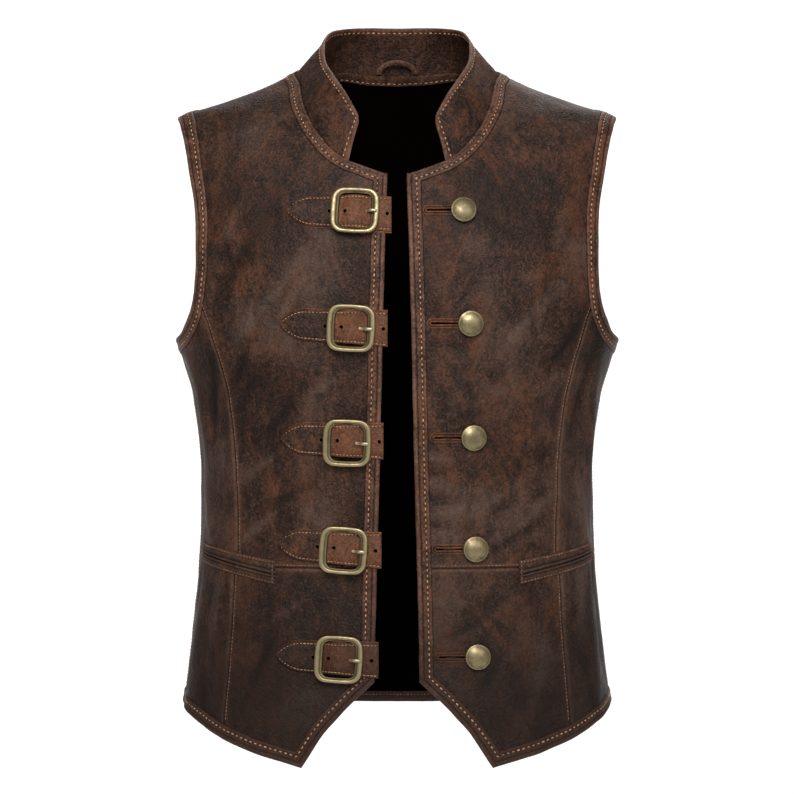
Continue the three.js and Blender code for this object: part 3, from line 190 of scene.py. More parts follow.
POCKET = {"inner": 47.7, "outer": 78}
POCKET_TOP, POCKET_SLIT, POCKET_BOTTOM = table(
    "inner outer", (-460, -444.5), (-473, -453.5), (-482, -462.5),
)
# rise: how far a strap lies above the middle of its buckle. under: and its lower layer above the strap.
STRAPS = table(
    "z x tip end tilt rise under",
    (-139, 38.5, 102, 5.1, 2.5, -0.9, -1.1), (-246, 42, 107.5, 8.7, 3, 0.8, 1.3),
    (-351, 45.4, 107.5, 12.4, 2, 2.0, 1.3), (-450, 48.8, 109.7, 14.2, 4, 1.8, 1.3),
    (-550, 53, 111.5, 17, 3, 0.6, 1.3),
)
STRAP_WIDTH = 27.8  # where the pointed end begins
STRAP_FLARE = 0.055  # how much wider it grows, to a millimetre
STRAP_POINT = 24
STRAP_LOW, STRAP_MID, STRAP_HIGH = 0.6, 1.8, 6.2
STRAP_HOLES = (-23.5, -8.8, 29.6)
BUCKLE = {"width": 43.8, "height": 42.8, "corner": 11, "side": 7.4, "end": 5.2, "thick": 4.2, "low": 3.9}
CENTRE_BAR_RADIUS = 0.8
CENTRE_BAR_HEIGHT = BUCKLE["low"] + CENTRE_BAR_RADIUS
PRONG = {"width": 3.0, "thick": 1.6, "reach": 20.5, "ring": 2.2}
BUTTONS = table(
    "z x hole",
    (-137, 61.2, 24.6), (-241.5, 67.5, 28.4), (-346.5, 70.2, 31), (-449, 72, 32.8), (-548, 74, 35.6),
)
BUTTON_RADIUS = 11.8
BUTTON_HEIGHT = 7.4
BUTTONHOLE_LENGTH = 33  # its inner end lies under the button
BUTTONHOLE_HEIGHT = 9.4
LIP_WIDTH = 4.1
SLIT_DISTANCE = 3.6  # from the lips' outer edge to the slit
LOOP = {"half": 17.5, "height": 12, "strip": 5, "thick": 1.6, "lean": 4, "base": 0.8, "clear": 1.6}
FACING_WIDTH = 14
FACING_TURN = 128

# ------------------------------------------------------------------ the body's surface


def column(rows, name, by="z"):
    """A smooth curve through one column of a table, which doesn't overshoot between rows."""
    rows = sorted(rows, key=lambda row: row[by])
    at = np.array([row[by] for row in rows], float)
    value = np.array([row[name] for row in rows], float)
    slope = np.diff(value) / np.diff(at)
    product = slope[:-1] * slope[1:]
    total = slope[:-1] + slope[1:]
    inner = np.where(product > 0, 2 * product / np.where(total == 0, 1, total), 0)
    tangent = np.concatenate([slope[:1], inner, slope[-1:]])

    def curve(where):
        where = np.asarray(where, float)
        i = np.clip(np.searchsorted(at, where) - 1, 0, len(slope) - 1)
        span = at[i + 1] - at[i]
        u = np.clip((where - at[i]) / span, 0, 1)
        start = (1 + 2 * u) * (1 - u) ** 2 * value[i] + u * (1 - u) ** 2 * span * tangent[i]
        return start + u * u * (3 - 2 * u) * value[i + 1] - u * u * (1 - u) * span * tangent[i + 1]

    return curve


torso = {name: column(TORSO, name) for name in ("half", "front", "back", "rise")}
waist_z = column(WAIST, "z", "turn")
edge_x = column(FRONT_EDGE, "x")


def body(side, turn, z):
    """The smooth body at a turn in degrees from the middle of the front and a level z."""
    angle = np.radians(turn)
    across = np.abs(np.sin(angle)) / torso["half"](z)
    deep = np.abs(np.cos(angle)) / np.where(turn < 90, torso["front"](z), torso["back"](z))
    reach = (across**SQUARENESS + deep**SQUARENESS) ** (-1 / SQUARENESS)
    share = np.clip((turn - 90) / 60, 0, 1)
    rise = torso["rise"](z) * share * share * (3 - 2 * share)
    return np.stack([side * reach * np.sin(angle), -reach * np.cos(angle), z + rise], axis=-1)


def unit(vectors):
    return vectors / np.maximum(np.linalg.norm(vectors, axis=-1, keepdims=True), 1e-12)


def slopes(surface, side, turn, z):
    """The two directions along a surface, per degree and per millimetre of z, and its outward normal."""
    along = (surface(side, turn + 0.3, z) - surface(side, turn - 0.3, z)) / 0.6
    up = surface(side, turn, z + 0.5) - surface(side, turn, z - 0.5)
    normal = unit(np.cross(along, up) * np.asarray(side)[..., None])
    return along, up, normal


def bumps(tables, side, turn, z):
    """The height of all the folds, or creases, of the tables for both sides."""
    height = np.zeros(np.broadcast(side, turn, z).shape)
    for fold_side, folds in tables.items():
        for fold in folds:
            around = np.radians(turn - fold["turn"]) * FOLD_RADIUS
            lean = math.radians(fold["lean"])
            across = around * math.cos(lean) - (z - fold["z"]) * math.sin(lean)
            along = around * math.sin(lean) + (z - fold["z"]) * math.cos(lean)
            bump = fold["deep"] * np.exp(-((across / fold["wide"]) ** 2) - (along / fold["long"]) ** 2)
            height += np.where(side == fold_side, bump, 0)
    return height


def lattice(x, y, seed):
    """Smooth random values, from -1 to 1, with one bump to a unit of x and y."""
    xi, yi = np.floor(x), np.floor(y)

    def corner(dx, dy):
        value = np.sin((xi + dx) * 127.1 + (yi + dy) * 311.7 + seed * 74.7) * 43758.5453
        return 2 * (value - np.floor(value)) - 1

    u, v = x - xi, y - yi
    u, v = u * u * (3 - 2 * u), v * v * (3 - 2 * v)
    low = corner(0, 0) * (1 - u) + corner(1, 0) * u
    high = corner(0, 1) * (1 - u) + corner(1, 1) * u
    return low * (1 - v) + high * v


def unevenness(side, turn, z):
    """The leather's slight waves."""
    around = turn * DEGREE_LENGTH
    seed = np.where(np.asarray(side) > 0, 3.0, 11.0)
    broad = 0.6 * lattice(around / 46, z / 60, seed) + 0.3 * lattice(around / 17, z / 21, seed + 5)
    return broad + 0.1 * lattice(around / 7.5, z / 9, seed + 9)


def fine_height(side, turn, z):
    """Creases and waves, which the solids leave out."""
    depth = bpy.context.scene.vest.crease_depth
    fade = np.clip((180 - turn) / 8, 0, 1)  # towards the centre back, where the two sides meet
    return depth * fade * (bumps(CREASES, side, turn, z) + unevenness(side, turn, z))


def skin(side, turn, z):
    """The outer face of the leather with its folds and creases."""
    height = bumps(FOLDS, side, turn, z) + fine_height(side, turn, z)
    return body(side, turn, z) + slopes(body, side, turn, z)[2] * height[..., None]


def on_skin(side, nodes, out=0.0):
    """Points over nodes [turn, z] of the skin, moved out along its normal."""
    turn, z = nodes[..., 0], nodes[..., 1]
    side = np.broadcast_to(side, turn.shape)
    normal = slopes(skin, side, turn, z)[2]
    return skin(side, turn, z) + normal * np.asarray(out, float)[..., None]


def turn_at(x, z):
    """The turn of a point of the front that lies x from the middle at a level z."""
    share = np.minimum(np.abs(x) / torso["half"](z), 1)
    deep = torso["front"](z) * (1 - share**SQUARENESS) ** (1 / SQUARENESS)
    return np.degrees(np.arctan2(x, deep))


def front_nodes(x, z):
    """Nodes [turn, z] of points of the front, x from its middle."""
    x, z = np.broadcast_arrays(np.asarray(x, float), np.asarray(z, float))
    return np.stack([turn_at(x, z), z], axis=-1)


# ------------------------------------------------------------------ seams


def run_along(points):
    """How far each point of a line lies from its start."""
    return np.concatenate([[0], np.cumsum(np.linalg.norm(np.diff(points, axis=0), axis=1))])


def spline(points, count, grading=1.0):
    """Spaced points on a centripetal curve through others, growing further apart by the grading."""
    points = np.asarray(points, float)
    if len(points) == 2:
        share = np.linspace(0, 1, count + 1)[:, None] ** grading
        return points[0] + (points[1] - points[0]) * share
    ends = np.vstack([2 * points[0] - points[1], points, 2 * points[-1] - points[-2]])
    dense = []
    for k in range(len(points) - 1):
        p0, p1, p2, p3 = ends[k : k + 4]
        d0, d1, d2 = (max(np.linalg.norm(b - a) ** 0.5, 1e-4) for a, b in ((p0, p1), (p1, p2), (p2, p3)))
        m1 = ((p1 - p0) / d0 - (p2 - p0) / (d0 + d1) + (p2 - p1) / d1) * d1
        m2 = ((p2 - p1) / d1 - (p3 - p1) / (d1 + d2) + (p3 - p2) / d2) * d1
        t = np.linspace(0, 1, 61)[:, None]
        part = (2 * t**3 - 3 * t**2 + 1) * p1 + (t**3 - 2 * t**2 + t) * m1
        part = part + (-2 * t**3 + 3 * t**2) * p2 + (t**3 - t**2) * m2
        dense.append(part if k == 0 else part[1:])
    dense = np.vstack(dense)
    length = run_along(dense)
    want = np.linspace(0, 1, count + 1) ** grading * length[-1]
    return np.stack([np.interp(want, length, dense[:, c]) for c in range(dense.shape[1])], axis=-1)


def trace(rows, count, grading=1.0):
    """Nodes [turn, z] on a smooth line through the rows of a table."""
    marks = []
    for row in rows:
        turn = row["turn"] if "turn" in row else float(turn_at(row["x"], row["z"]))
        marks.append((turn * DEGREE_LENGTH, row["z"]))
    line = spline(marks, count, grading)
    return np.stack([line[:, 0] / DEGREE_LENGTH, line[:, 1]], axis=-1)


def upright(turn, low, high, count):
    """Nodes straight up the body at one turn."""
    z = np.linspace(low, high, count + 1)
    return np.stack([np.full_like(z, turn), z], axis=-1)


def join(*rows):
    """One row of nodes through rows that meet end to end."""
    return np.vstack([rows[0]] + [row[1:] for row in rows[1:]])


def seam_lines():
    """All the seam lines of one side; the other side's are the same."""
    step = {name: count * FINE for name, count in STEPS.items()}
    edge_turn = float(turn_at(edge_x(WAIST[0]["z"]), WAIST[0]["z"]))
    edge_waist = float(waist_z(edge_turn))
    top, bottom = FRONT_EDGE[0]["z"], FRONT_EDGE[-1]["z"]

    def edge(low, high, count):
        z = np.linspace(low, high, count + 1)
        return front_nodes(edge_x(z), z)

    def waist(low, high, count):
        turn = np.linspace(low, high, count + 1)
        return np.stack([turn, waist_z(turn)], axis=-1)

    edge_turn = float(edge(edge_waist, top, 1)[0, 0])
    princess = PRINCESS_UPPER[0]["turn"]
    waist_front = waist(edge_turn, princess, step["across"])
    lower_corner = np.array([[PRINCESS_LOWER_TURN, float(waist_z(PRINCESS_LOWER_TURN))]])
    side_waist = float(waist_z(90.0))
    s = {
        "edgeUpper": edge(edge_waist, top, step["edgeUpper"]),
        "edgeLower": edge(bottom, edge_waist, step["lower"]),
        "shoulder": upright(90, 0, SHOULDER_TIP_Z, step["across"]),
        "shoulderBack": upright(90, SHOULDER_TIP_Z, 0, step["shoulderBack"]),
        "armBack": join(
            trace(ARMHOLE_UNDER_BACK, step["armUnderBack"]), trace(ARMHOLE_BACK, step["armBack"])
        ),
        "princessUpper": trace(PRINCESS_UPPER, step["princess"]),
        "princessLower": upright(PRINCESS_LOWER_TURN, FRONT_HEM[-1]["z"], lower_corner[0, 1], step["lower"]),
        "waistFront": waist_front,
        "waistFrontLower": np.vstack([waist_front[:-1], lower_corner]),
        "waistSide": waist(princess, 90, step["side"]),
        "waistSideLower": waist(PRINCESS_LOWER_TURN, 90, step["side"]),
        "hemFront": trace(FRONT_HEM, step["across"] - step["slant"]),
        "hemSide": trace(SIDE_HEM, step["side"]),
        "hemBack": trace(BACK_HEM, step["shoulderBack"] + step["neckBack"], SIDE_GRADING),
        "sideUpper": upright(90, side_waist, ARMHOLE_UNDER[-1]["z"], step["princess"]),
        "sideLower": upright(90, SIDE_HEM[-1]["z"], side_waist, step["lower"]),
    }
    for name, rows in (
        ("neckFront", FRONT_NECK),
        ("neckCollar", COLLAR_NECK),
        ("neckBack", BACK_NECK),
        ("armFront", ARMHOLE_FRONT),
        ("armUnder", ARMHOLE_UNDER),
        ("slant", SLANT),
    ):
        s[name] = trace(rows, step[name])
    s["centreBack"] = join(
        upright(180, BACK_HEM[-1]["z"], CENTRE_UNDERARM_Z, step["lower"] + step["princess"]),
        upright(180, CENTRE_UNDERARM_Z, BACK_NECK[-1]["z"], step["armUnderBack"] + step["armBack"]),
    )
    return s


SEAMS = seam_lines()


def shares(row):
    """How far each node of a row lies along it, from 0 to 1."""
    length = np.hypot(np.diff(row[:, 0]) * DEGREE_LENGTH, np.diff(row[:, 1]))
    total = np.concatenate([[0], np.cumsum(length)])
    return total / total[-1]


def patch(bottom, right, top, left, power=1.0):
    """A grid of nodes inside four seam lines; bottom and top run one way, left and right run up."""
    i = np.linspace(0, 1, len(left))[:, None]
    j = np.linspace(0, 1, len(bottom))[None, :]
    low, high, near, far = (shares(row) for row in (bottom, top, left, right))
    u = (low[None, :] * (1 - i) + high[None, :] * i)[..., None]
    v = ((near[:, None] * (1 - j) + far[:, None] * j) ** power)[..., None]
    ruled = left[:, None] * (1 - u) + right[:, None] * u + bottom[None] * (1 - v) + top[None] * v
    low_corners = bottom[0] * (1 - u) + bottom[-1] * u
    high_corners = top[0] * (1 - u) + top[-1] * u
    return ruled - low_corners * (1 - v) - high_corners * v


def densified(grid, shares_in=(0.12, 0.3, 0.55, 0.8)):
    """Adds lines of nodes near a grid's four edges, so that the edges can roll over."""

    def along_rows(lines):
        first = [lines[0] * (1 - s) + lines[1] * s for s in shares_in]
        last = [lines[-2] * s + lines[-1] * (1 - s) for s in reversed(shares_in)]
        return np.concatenate([lines[:1], first, lines[1:-1], last, lines[-1:]])

    grid = along_rows(grid)
    return along_rows(grid.transpose(1, 0, 2)).transpose(1, 0, 2)


# ------------------------------------------------------------------ meshes


def quads(rows, cols, start=0, wrap=False, ring=False):
    """Faces of a grid of points. wrap joins the last row to the first, and ring the last column."""
    index = np.arange(rows * cols).reshape(rows, cols) + start
    if ring:
        index = np.hstack([index, index[:, :1]])
    if wrap:
        index = np.vstack([index, index[:1]])
    corners = (index[:-1, :-1], index[:-1, 1:], index[1:, 1:], index[1:, :-1])
    return np.stack([c.ravel() for c in corners], axis=-1)


def volume(points, faces):
    """The volume that quads close in, which is negative when they are inside out."""
    a, b, c, d = (points[faces[:, k]] for k in range(4))
    return (np.einsum("ij,ij->", a, np.cross(b, c)) + np.einsum("ij,ij->", a, np.cross(c, d))) / 6


def show(name, data):
    """A new object in the scene, for a mesh, a lamp or a camera."""
    thing = bpy.data.objects.new(name, data)
    bpy.context.scene.collection.objects.link(thing)
    return thing


def make_piece(name, points, faces, materials, slots=None, values=None, caps=(), sharp=None):
    """A mesh object from points in millimetres, quads and caps, turned so that its faces point out."""
    faces = np.asarray(faces)
    inside_out = volume(points, faces) < 0
    polygons = [tuple(reversed(f)) if inside_out else tuple(f) for f in faces.tolist()]
    polygons += [tuple(reversed(c)) if inside_out else tuple(c) for c in caps]
    mesh = bpy.data.meshes.new(name)
    mesh.from_pydata((points * MM).tolist(), [], polygons)
    for material in materials:
        mesh.materials.append(material)
    if slots is not None:
        filled = np.concatenate([slots, np.zeros(len(caps), int)]).astype(np.int32)
        mesh.polygons.foreach_set("material_index", filled)
    for key, value in (values or {}).items():
        layer = mesh.attributes.new(key, "FLOAT", "POINT")
        layer.data.foreach_set("value", np.broadcast_to(value, len(points)).astype(np.float32))
    mesh.polygons.foreach_set("use_smooth", np.ones(len(polygons), bool))
    if sharp is not None:
        mesh.set_sharp_from_angle(angle=math.radians(sharp))
    mesh.update()
    return show(name, mesh)


def settle(piece, slot, *nodes):
    """The piece rides on the part's one body and stands for its solids. Its slot is not used."""
    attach(piece, "root")
    if nodes:
        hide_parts(*nodes)
    return piece


def shell_faces(rows, cols):
    """Quads of a sheet with two faces and a wall round its edge, and which of them are on its inside."""
    size = rows * cols
    outer = quads(rows, cols)
    inner = quads(rows, cols, size)[:, ::-1]
    index = np.arange(size).reshape(rows, cols)
    loop = np.concatenate([index[0, :-1], index[:-1, -1], index[-1, :0:-1], index[:0:-1, 0]])
    after = np.roll(loop, -1)
    walls = np.stack([after, loop, loop + size, after + size], axis=-1)
    faces = np.vstack([outer, inner, walls])
    slots = np.concatenate([np.zeros(len(outer)), np.ones(len(inner)), np.zeros(len(walls))])
    return faces, slots.astype(int)


def sweep(name, rings, material, closed=False, values=None, sharp=None):
    """A solid through rings of points, shaped stations x profile x 3."""
    stations, size = rings.shape[:2]
    faces = quads(stations, size, wrap=closed, ring=True)
    caps = []
    if not closed:
        caps = [list(range(size)), list(reversed(range((stations - 1) * size, stations * size)))]
    values = {key: np.broadcast_to(v, rings.shape[:2]).ravel() for key, v in (values or {}).items()}
    materials = material if isinstance(material, list) else [material]
    return make_piece(name, rings.reshape(-1, 3), faces, materials, None, values, caps, sharp)


def merge(piece, other):
    """Joins another object's mesh to a piece's."""
    with bpy.context.temp_override(active_object=piece, selected_editable_objects=[piece, other]):
        bpy.ops.object.join()


def lengths_from(points, axis):
    """Distance along a grid's lines from their start, and back from their end."""
    step = np.linalg.norm(np.diff(points, axis=axis), axis=-1)
    pad = [(0, 0), (0, 0)]
    pad[axis] = (1, 0)
    total = np.cumsum(np.pad(step, pad), axis=axis)
    return total, np.take(total, [-1], axis=axis) - total


# ------------------------------------------------------------------ materials


class Nodes:
    """Short ways to add nodes to a material."""

    def __init__(self, name):
        self.material = bpy.data.materials.new(name)
        self.material.use_nodes = True
        self.tree = self.material.node_tree
        self.tree.nodes.clear()
        self.coords = self.add("TexCoord").outputs["Object"]
        self.shader = self.add("BsdfPrincipled")
        output = self.add("OutputMaterial")
        self.tree.links.new(self.shader.outputs["BSDF"], output.inputs["Surface"])

    def add(self, kind, inputs=(), **settings):
        """A node with its own settings, and values or sockets for its inputs, by name or in order."""
        node = self.tree.nodes.new("ShaderNode" + kind)
        for name, value in settings.items():
            setattr(node, name, value)
        for key, value in inputs.items() if isinstance(inputs, dict) else enumerate(inputs):
            self.put(node.inputs[key], value)
        return node

    def put(self, socket, value):
        if isinstance(value, bpy.types.NodeSocket):
            self.tree.links.new(value, socket)
        else:
            socket.default_value = value

    def noise(self, scale, detail, roughness=0.55, distortion=0.0, at=None):
        inputs = {"Vector": at or self.coords, "Scale": scale, "Detail": detail, "Roughness": roughness}
        return self.add("TexNoise", {**inputs, "Distortion": distortion}).outputs["Fac"]

    def cells(self, scale, feature="DISTANCE_TO_EDGE", at=None):
        inputs = {"Vector": at or self.coords, "Scale": scale}
        return self.add("TexVoronoi", inputs, feature=feature).outputs["Distance"]

    def vector(self, operation, *values):
        return self.add("VectorMath", values, operation=operation).outputs["Vector"]

    def warped(self, amount, scale):
        """The object's coordinates, pushed about by a noise."""
        noise = self.add("TexNoise", {"Vector": self.coords, "Scale": scale})
        return self.vector("MULTIPLY_ADD", noise.outputs["Color"], (amount,) * 3, self.coords)

    def drawn_out(self, height):
        """The object's coordinates, with patterns made so much higher than wide."""
        return self.vector("MULTIPLY", self.coords, (1, 1, 1 / height))

    def level(self):
        """The height of a point, in metres."""
        return self.add("SeparateXYZ", {"Vector": self.coords}).outputs["Z"]

    def attribute(self, name):
        return self.add("Attribute", attribute_name=name).outputs["Fac"]

    def math(self, operation, a, b=0.0, c=0.0, clamp=False):
        return self.add("Math", (a, b, c), operation=operation, use_clamp=clamp).outputs["Value"]

    def painted(self, name, strength):
        """A share from 0 to 1 that an attribute of the mesh gives."""
        return self.math("MULTIPLY", self.attribute(name), strength, clamp=True)

    def ranged(self, value, low, high, to_low=0.0, to_high=1.0):
        inputs = {"Value": value, "From Min": low, "From Max": high, "To Min": to_low, "To Max": to_high}
        return self.add("MapRange", inputs, interpolation_type="SMOOTHSTEP").outputs["Result"]

    def ramp(self, value, *stops):
        node = self.add("ValToRGB", {"Fac": value})
        elements = node.color_ramp.elements
        while len(elements) < len(stops):
            elements.new(0.5)
        for element, (position, color) in zip(elements, stops):
            element.position = position
            element.color = (*color, 1)
        return node.outputs["Color"]

    def mix(self, factor, a, b, blend="MIX"):
        node = self.add("Mix", data_type="RGBA", blend_type=blend, clamp_factor=True)
        self.put(node.inputs["Factor"], factor)
        for name, value in (("A", a), ("B", b)):
            socket = [s for s in node.inputs if s.name == name and s.type == "RGBA"][0]
            self.put(socket, value if isinstance(value, bpy.types.NodeSocket) else (*value, 1))
        return [s for s in node.outputs if s.type == "RGBA"][0]

    def bump(self, height, distance, strength=1.0, normal=None):
        node = self.add("Bump", {"Distance": distance, "Strength": strength, "Height": height})
        if normal is not None:
            self.put(node.inputs["Normal"], normal)
        return node.outputs["Normal"]

    def finish(self, color, roughness, normal, **fixed):
        inputs = {"Base Color": color, "Roughness": roughness, "Normal": normal}
        inputs.update({name.replace("_", " "): value for name, value in fixed.items()})
        for name, value in inputs.items():
            self.put(self.shader.inputs[name], value)
        return self.material


def scaled(color, factor):
    return tuple(c * factor for c in color)


def paler(color, factor, more):
    return tuple(min(1.0, c * factor + more) for c in color)


def leather(name, base, rust, worn, contrast, gloss):
    """Pull-up leather in greyed and rust-brown clouds. Its ridges are rubbed to a worn colour, which also
    stands for their painted highlight; painted shade darkens hollows, seams and the lower part.
    """
    n = Nodes(name)
    warped = n.warped(0.012, 30)
    streaked = n.drawn_out(2.0)
    clouds = n.noise(11, 5, 0.62, 0.6, streaked)
    patches = n.noise(42, 8, 0.74, 1.4, streaked)
    flecks = n.noise(150, 9, 0.8, 2.2)
    fibres = n.noise(430, 6, 0.8, 3.0)
    tone = n.math("MULTIPLY_ADD", patches, 0.22, n.math("MULTIPLY", flecks, 0.38))
    tone = n.math("MULTIPLY_ADD", clouds, 0.08, tone)
    tone = n.math("MULTIPLY_ADD", fibres, 0.32, tone)
    grain = n.cells(430, "F1", at=warped)
    spread = 0.06 / contrast
    mottle = n.ranged(flecks, 0.36, 0.64)
    warmth = tuple(0.5 * (r + w) for r, w in zip(rust, worn))
    color = n.ramp(
        n.ranged(tone, 0.5 - spread, 0.5 + spread),
        (0.0, scaled(base, 0.2)),
        (0.34, scaled(base, 0.6)),
        (0.64, scaled(base, 1.1)),
        (1.0, paler(base, 2.3, 0.005)),
    )
    color = n.mix(1.0, color, n.ramp(grain, (0.25, (1, 1, 1)), (0.85, (0.5, 0.48, 0.46))), "MULTIPLY")
    rubbed = n.ranged(n.noise(21, 7, 0.7, 1.5, streaked), 0.48, 0.63)
    streaks = n.ranged(n.noise(130, 7, 0.8, 2.4), 0.4, 0.6, 0.1, 1.0)
    color = n.mix(n.math("MULTIPLY", n.math("MULTIPLY", rubbed, streaks), 0.85), color, rust)
    warm = n.painted("warm", n.ranged(patches, 0.35, 0.65, 0.95, 0.6))
    color = n.mix(warm, color, n.ramp(mottle, (0.0, scaled(warmth, 0.5)), (1.0, scaled(warmth, 1.3))))
    # Wear and painted highlight: rubbed ridges, edge rolls and rims take the worn colour, which also stands
    # for their highlight.
    wear_and_highlight_share = n.painted("wear", n.ranged(patches, 0.32, 0.6, 0.3, 1.0))
    worn_and_lit_colour = n.ramp(mottle, (0.0, scaled(worn, 0.7)), (1.0, scaled(worn, 1.2)))
    color = n.mix(n.math("MULTIPLY", wear_and_highlight_share, 0.8), color, worn_and_lit_colour)
    shade = n.attribute("shade")
    color = n.mix(n.math("MULTIPLY", shade, 0.92, clamp=True), color, scaled(base, 0.06))
    # Painted shade: the lower part of the vest is darker, as the light falls from above.
    painted_low_shade = n.ranged(n.level(), -0.6, -0.44, 0.74, 0.0)
    color = n.mix(painted_low_shade, color, scaled(base, 0.2))
    sheen = n.ranged(patches, 0.3, 0.7, 0.40 - gloss, 0.62 - gloss)
    roughness = n.math("MULTIPLY_ADD", shade, 0.15, sheen)
    wrinkles = n.bump(n.noise(52, 6, 0.64, 1.8), 0.0019, 0.6)
    pebbles = n.bump(n.math("SUBTRACT", 1.0, grain), 0.0007, 0.7, wrinkles)
    cracks = n.bump(n.ranged(n.cells(300, at=warped), 0.0, 0.2), 0.00014, 0.6, pebbles)
    pores = n.bump(fibres, 0.0005, 0.5, cracks)
    return n.finish(color, roughness, pores, Specular_IOR_Level=0.19)


def shaded_flesh_side(name, base):
    """The suede inside, painted near black: painted shade for the inside of the vest."""
    n = Nodes(name)
    fuzz = n.noise(420, 4, 0.7)
    clouds = n.noise(28, 4, 0.6)
    tone = n.math("MULTIPLY_ADD", fuzz, 0.4, n.math("MULTIPLY", clouds, 0.6))
    color = n.ramp(tone, (0.3, scaled(base, 0.5)), (0.75, base))
    return n.finish(color, 1.0, n.bump(fuzz, 0.0003, 0.7), Specular_IOR_Level=0.02)


def thread(name, base):
    """Waxed thread with grime, and paler in spots spread by a noise, a painted highlight."""
    n = Nodes(name)
    grime_and_highlight = n.noise(160, 3, 0.6)
    color = n.ramp(grime_and_highlight, (0.3, scaled(base, 0.45)), (0.52, base), (0.75, paler(base, 1.5, 0.06)))
    wave = n.add("TexWave", {"Vector": n.coords, "Scale": 900, "Distortion": 1.5})
    return n.finish(color, 0.55, n.bump(wave.outputs["Fac"], 0.00012, 0.5), Specular_IOR_Level=0.4)


def antique_brass(name, base, aged):
    """Brass with dark patina, darker in its hollows by patina and painted shade, and rubbed edges that also
    stand for painted highlights.
    """
    n = Nodes(name)
    clouds = n.noise(120, 5, 0.65, 0.5)
    specks = n.noise(900, 4, 0.7)
    patina = n.ranged(n.math("MULTIPLY_ADD", clouds, 0.65, n.math("MULTIPLY", specks, 0.35)), 0.42, 0.62)
    color = n.mix(n.math("MULTIPLY", patina, aged), base, scaled(base, 0.34))
    # Patina and painted shade in the hollows, at the window's edge and on the bar under the strap.
    color = n.mix(n.painted("shade", 0.8), color, scaled(base, 0.07))
    # Rubbed edges, partly wear and partly painted highlight.
    color = n.mix(n.painted("wear", 0.6), color, paler(base, 1.4, 0.05))
    roughness = n.ranged(clouds, 0.3, 0.7, 0.38, 0.56)
    scuffs = n.bump(specks, 0.00006, 0.6, n.bump(clouds, 0.0004, 0.35))
    return n.finish(color, roughness, scuffs, Metallic=1.0)


def plain(name, color):
    """The floor's paint."""
    n = Nodes(name)
    dust = n.noise(3, 3, 0.5)
    tone = n.ramp(dust, (0.3, scaled(color, 0.985)), (0.7, color))
    return n.finish(tone, 0.8, n.bump(dust, 0.001, 0.05))


MATERIALS = {}


def finishes():
    """The vest's materials, made once from its colours."""
    if not MATERIALS:
        v = bpy.context.scene.vest
        rust, brass = tuple(v.rust), tuple(v.brass)
        MATERIALS.update(
            # The panel's and the edges' worn colours also stand for painted highlights on ridges and edge
            # rolls.
            panel=leather("panel leather", tuple(v.leather), rust, (0.096, 0.058, 0.042), 1.0, 0.02),
            edge=leather(
                "edge leather", tuple(v.edge_leather), scaled(rust, 1.2), (0.185, 0.100, 0.070), 0.9, 0.04
            ),
            strap=leather(
                "strap leather", tuple(v.strap_leather), scaled(rust, 1.25), (0.200, 0.084, 0.042), 1.0, 0.06
            ),
            lips=leather(
                "lip leather", scaled(rust, 0.8), scaled(rust, 1.2), (0.20, 0.082, 0.038), 0.8, 0.04
            ),
            inside=shaded_flesh_side("flesh side", tuple(v.inside)),
            thread=thread("waxed thread", tuple(v.thread)),
            seam_thread=thread("seam thread", tuple(v.seam_thread)),
            brass=antique_brass("antique brass", brass, 0.55),
            button_brass=antique_brass("button brass", scaled(brass, 0.82), 0.8),
            pale_brass=antique_brass("pale brass", paler(brass, 0.95, 0.1), 0.4),
        )
    return MATERIALS


# ------------------------------------------------------------------ panels


def hump(x, at, wide):
    """A smooth hump of height 1."""
    return np.exp(-(((x - at) / wide) ** 2))


def roll(distance, dip):
    """How far a sewn edge rolls down, and puffs up beside the seam."""
    return -dip * hump(distance, 0, 1.2) + 0.3 * dip * hump(distance, 3.2, 1.8)


def make_panel(name, side, grid, sewn):
    """A panel with its outer face, flesh side and rolled seams. sewn names the edges that are seams."""
    v = bpy.context.scene.vest
    m = finishes()
    nodes = densified(grid)
    flat = on_skin(side, nodes)
    bottom, top = lengths_from(flat, 0)
    left, right = lengths_from(flat, 1)
    reach = {"bottom": bottom, "top": top, "left": left, "right": right}
    out = np.zeros(nodes.shape[:2])
    near = np.full(nodes.shape[:2], FAR)
    for edge in sewn:
        out += roll(reach[edge], v.seam_depth / MM)
        near = np.minimum(near, reach[edge])
    outer = on_skin(side, nodes, out)
    inner = on_skin(side, nodes, -WALL + 0.25 * out)
    faces, slots = shell_faces(*nodes.shape[:2])
    height = fine_height(np.full(nodes.shape[:2], side), nodes[..., 0], nodes[..., 1])
    # Ridges are painted lighter, partly wear and partly painted highlight; crease hollows and the seams get
    # painted shade.
    painted = {
        "wear": np.clip(0.85 * height, 0, 1) + 0.3 * hump(near, 2.4, 1.3),
        "shade": np.clip(-0.62 * height, 0, 1) + 0.7 * hump(near, 0, 0.7),
        "warm": hump(near, 2.0, 1.3) + 0.25 * hump(near, 0, 9),
    }
    values = {key: np.concatenate([a.ravel(), a.ravel()]) for key, a in painted.items()}
    points = np.vstack([outer.reshape(-1, 3), inner.reshape(-1, 3)])
    piece = make_piece(name, points, faces, [m["panel"], m["inside"]], slots, values)
    return settle(piece, "leather", name.replace("leather_", ""))


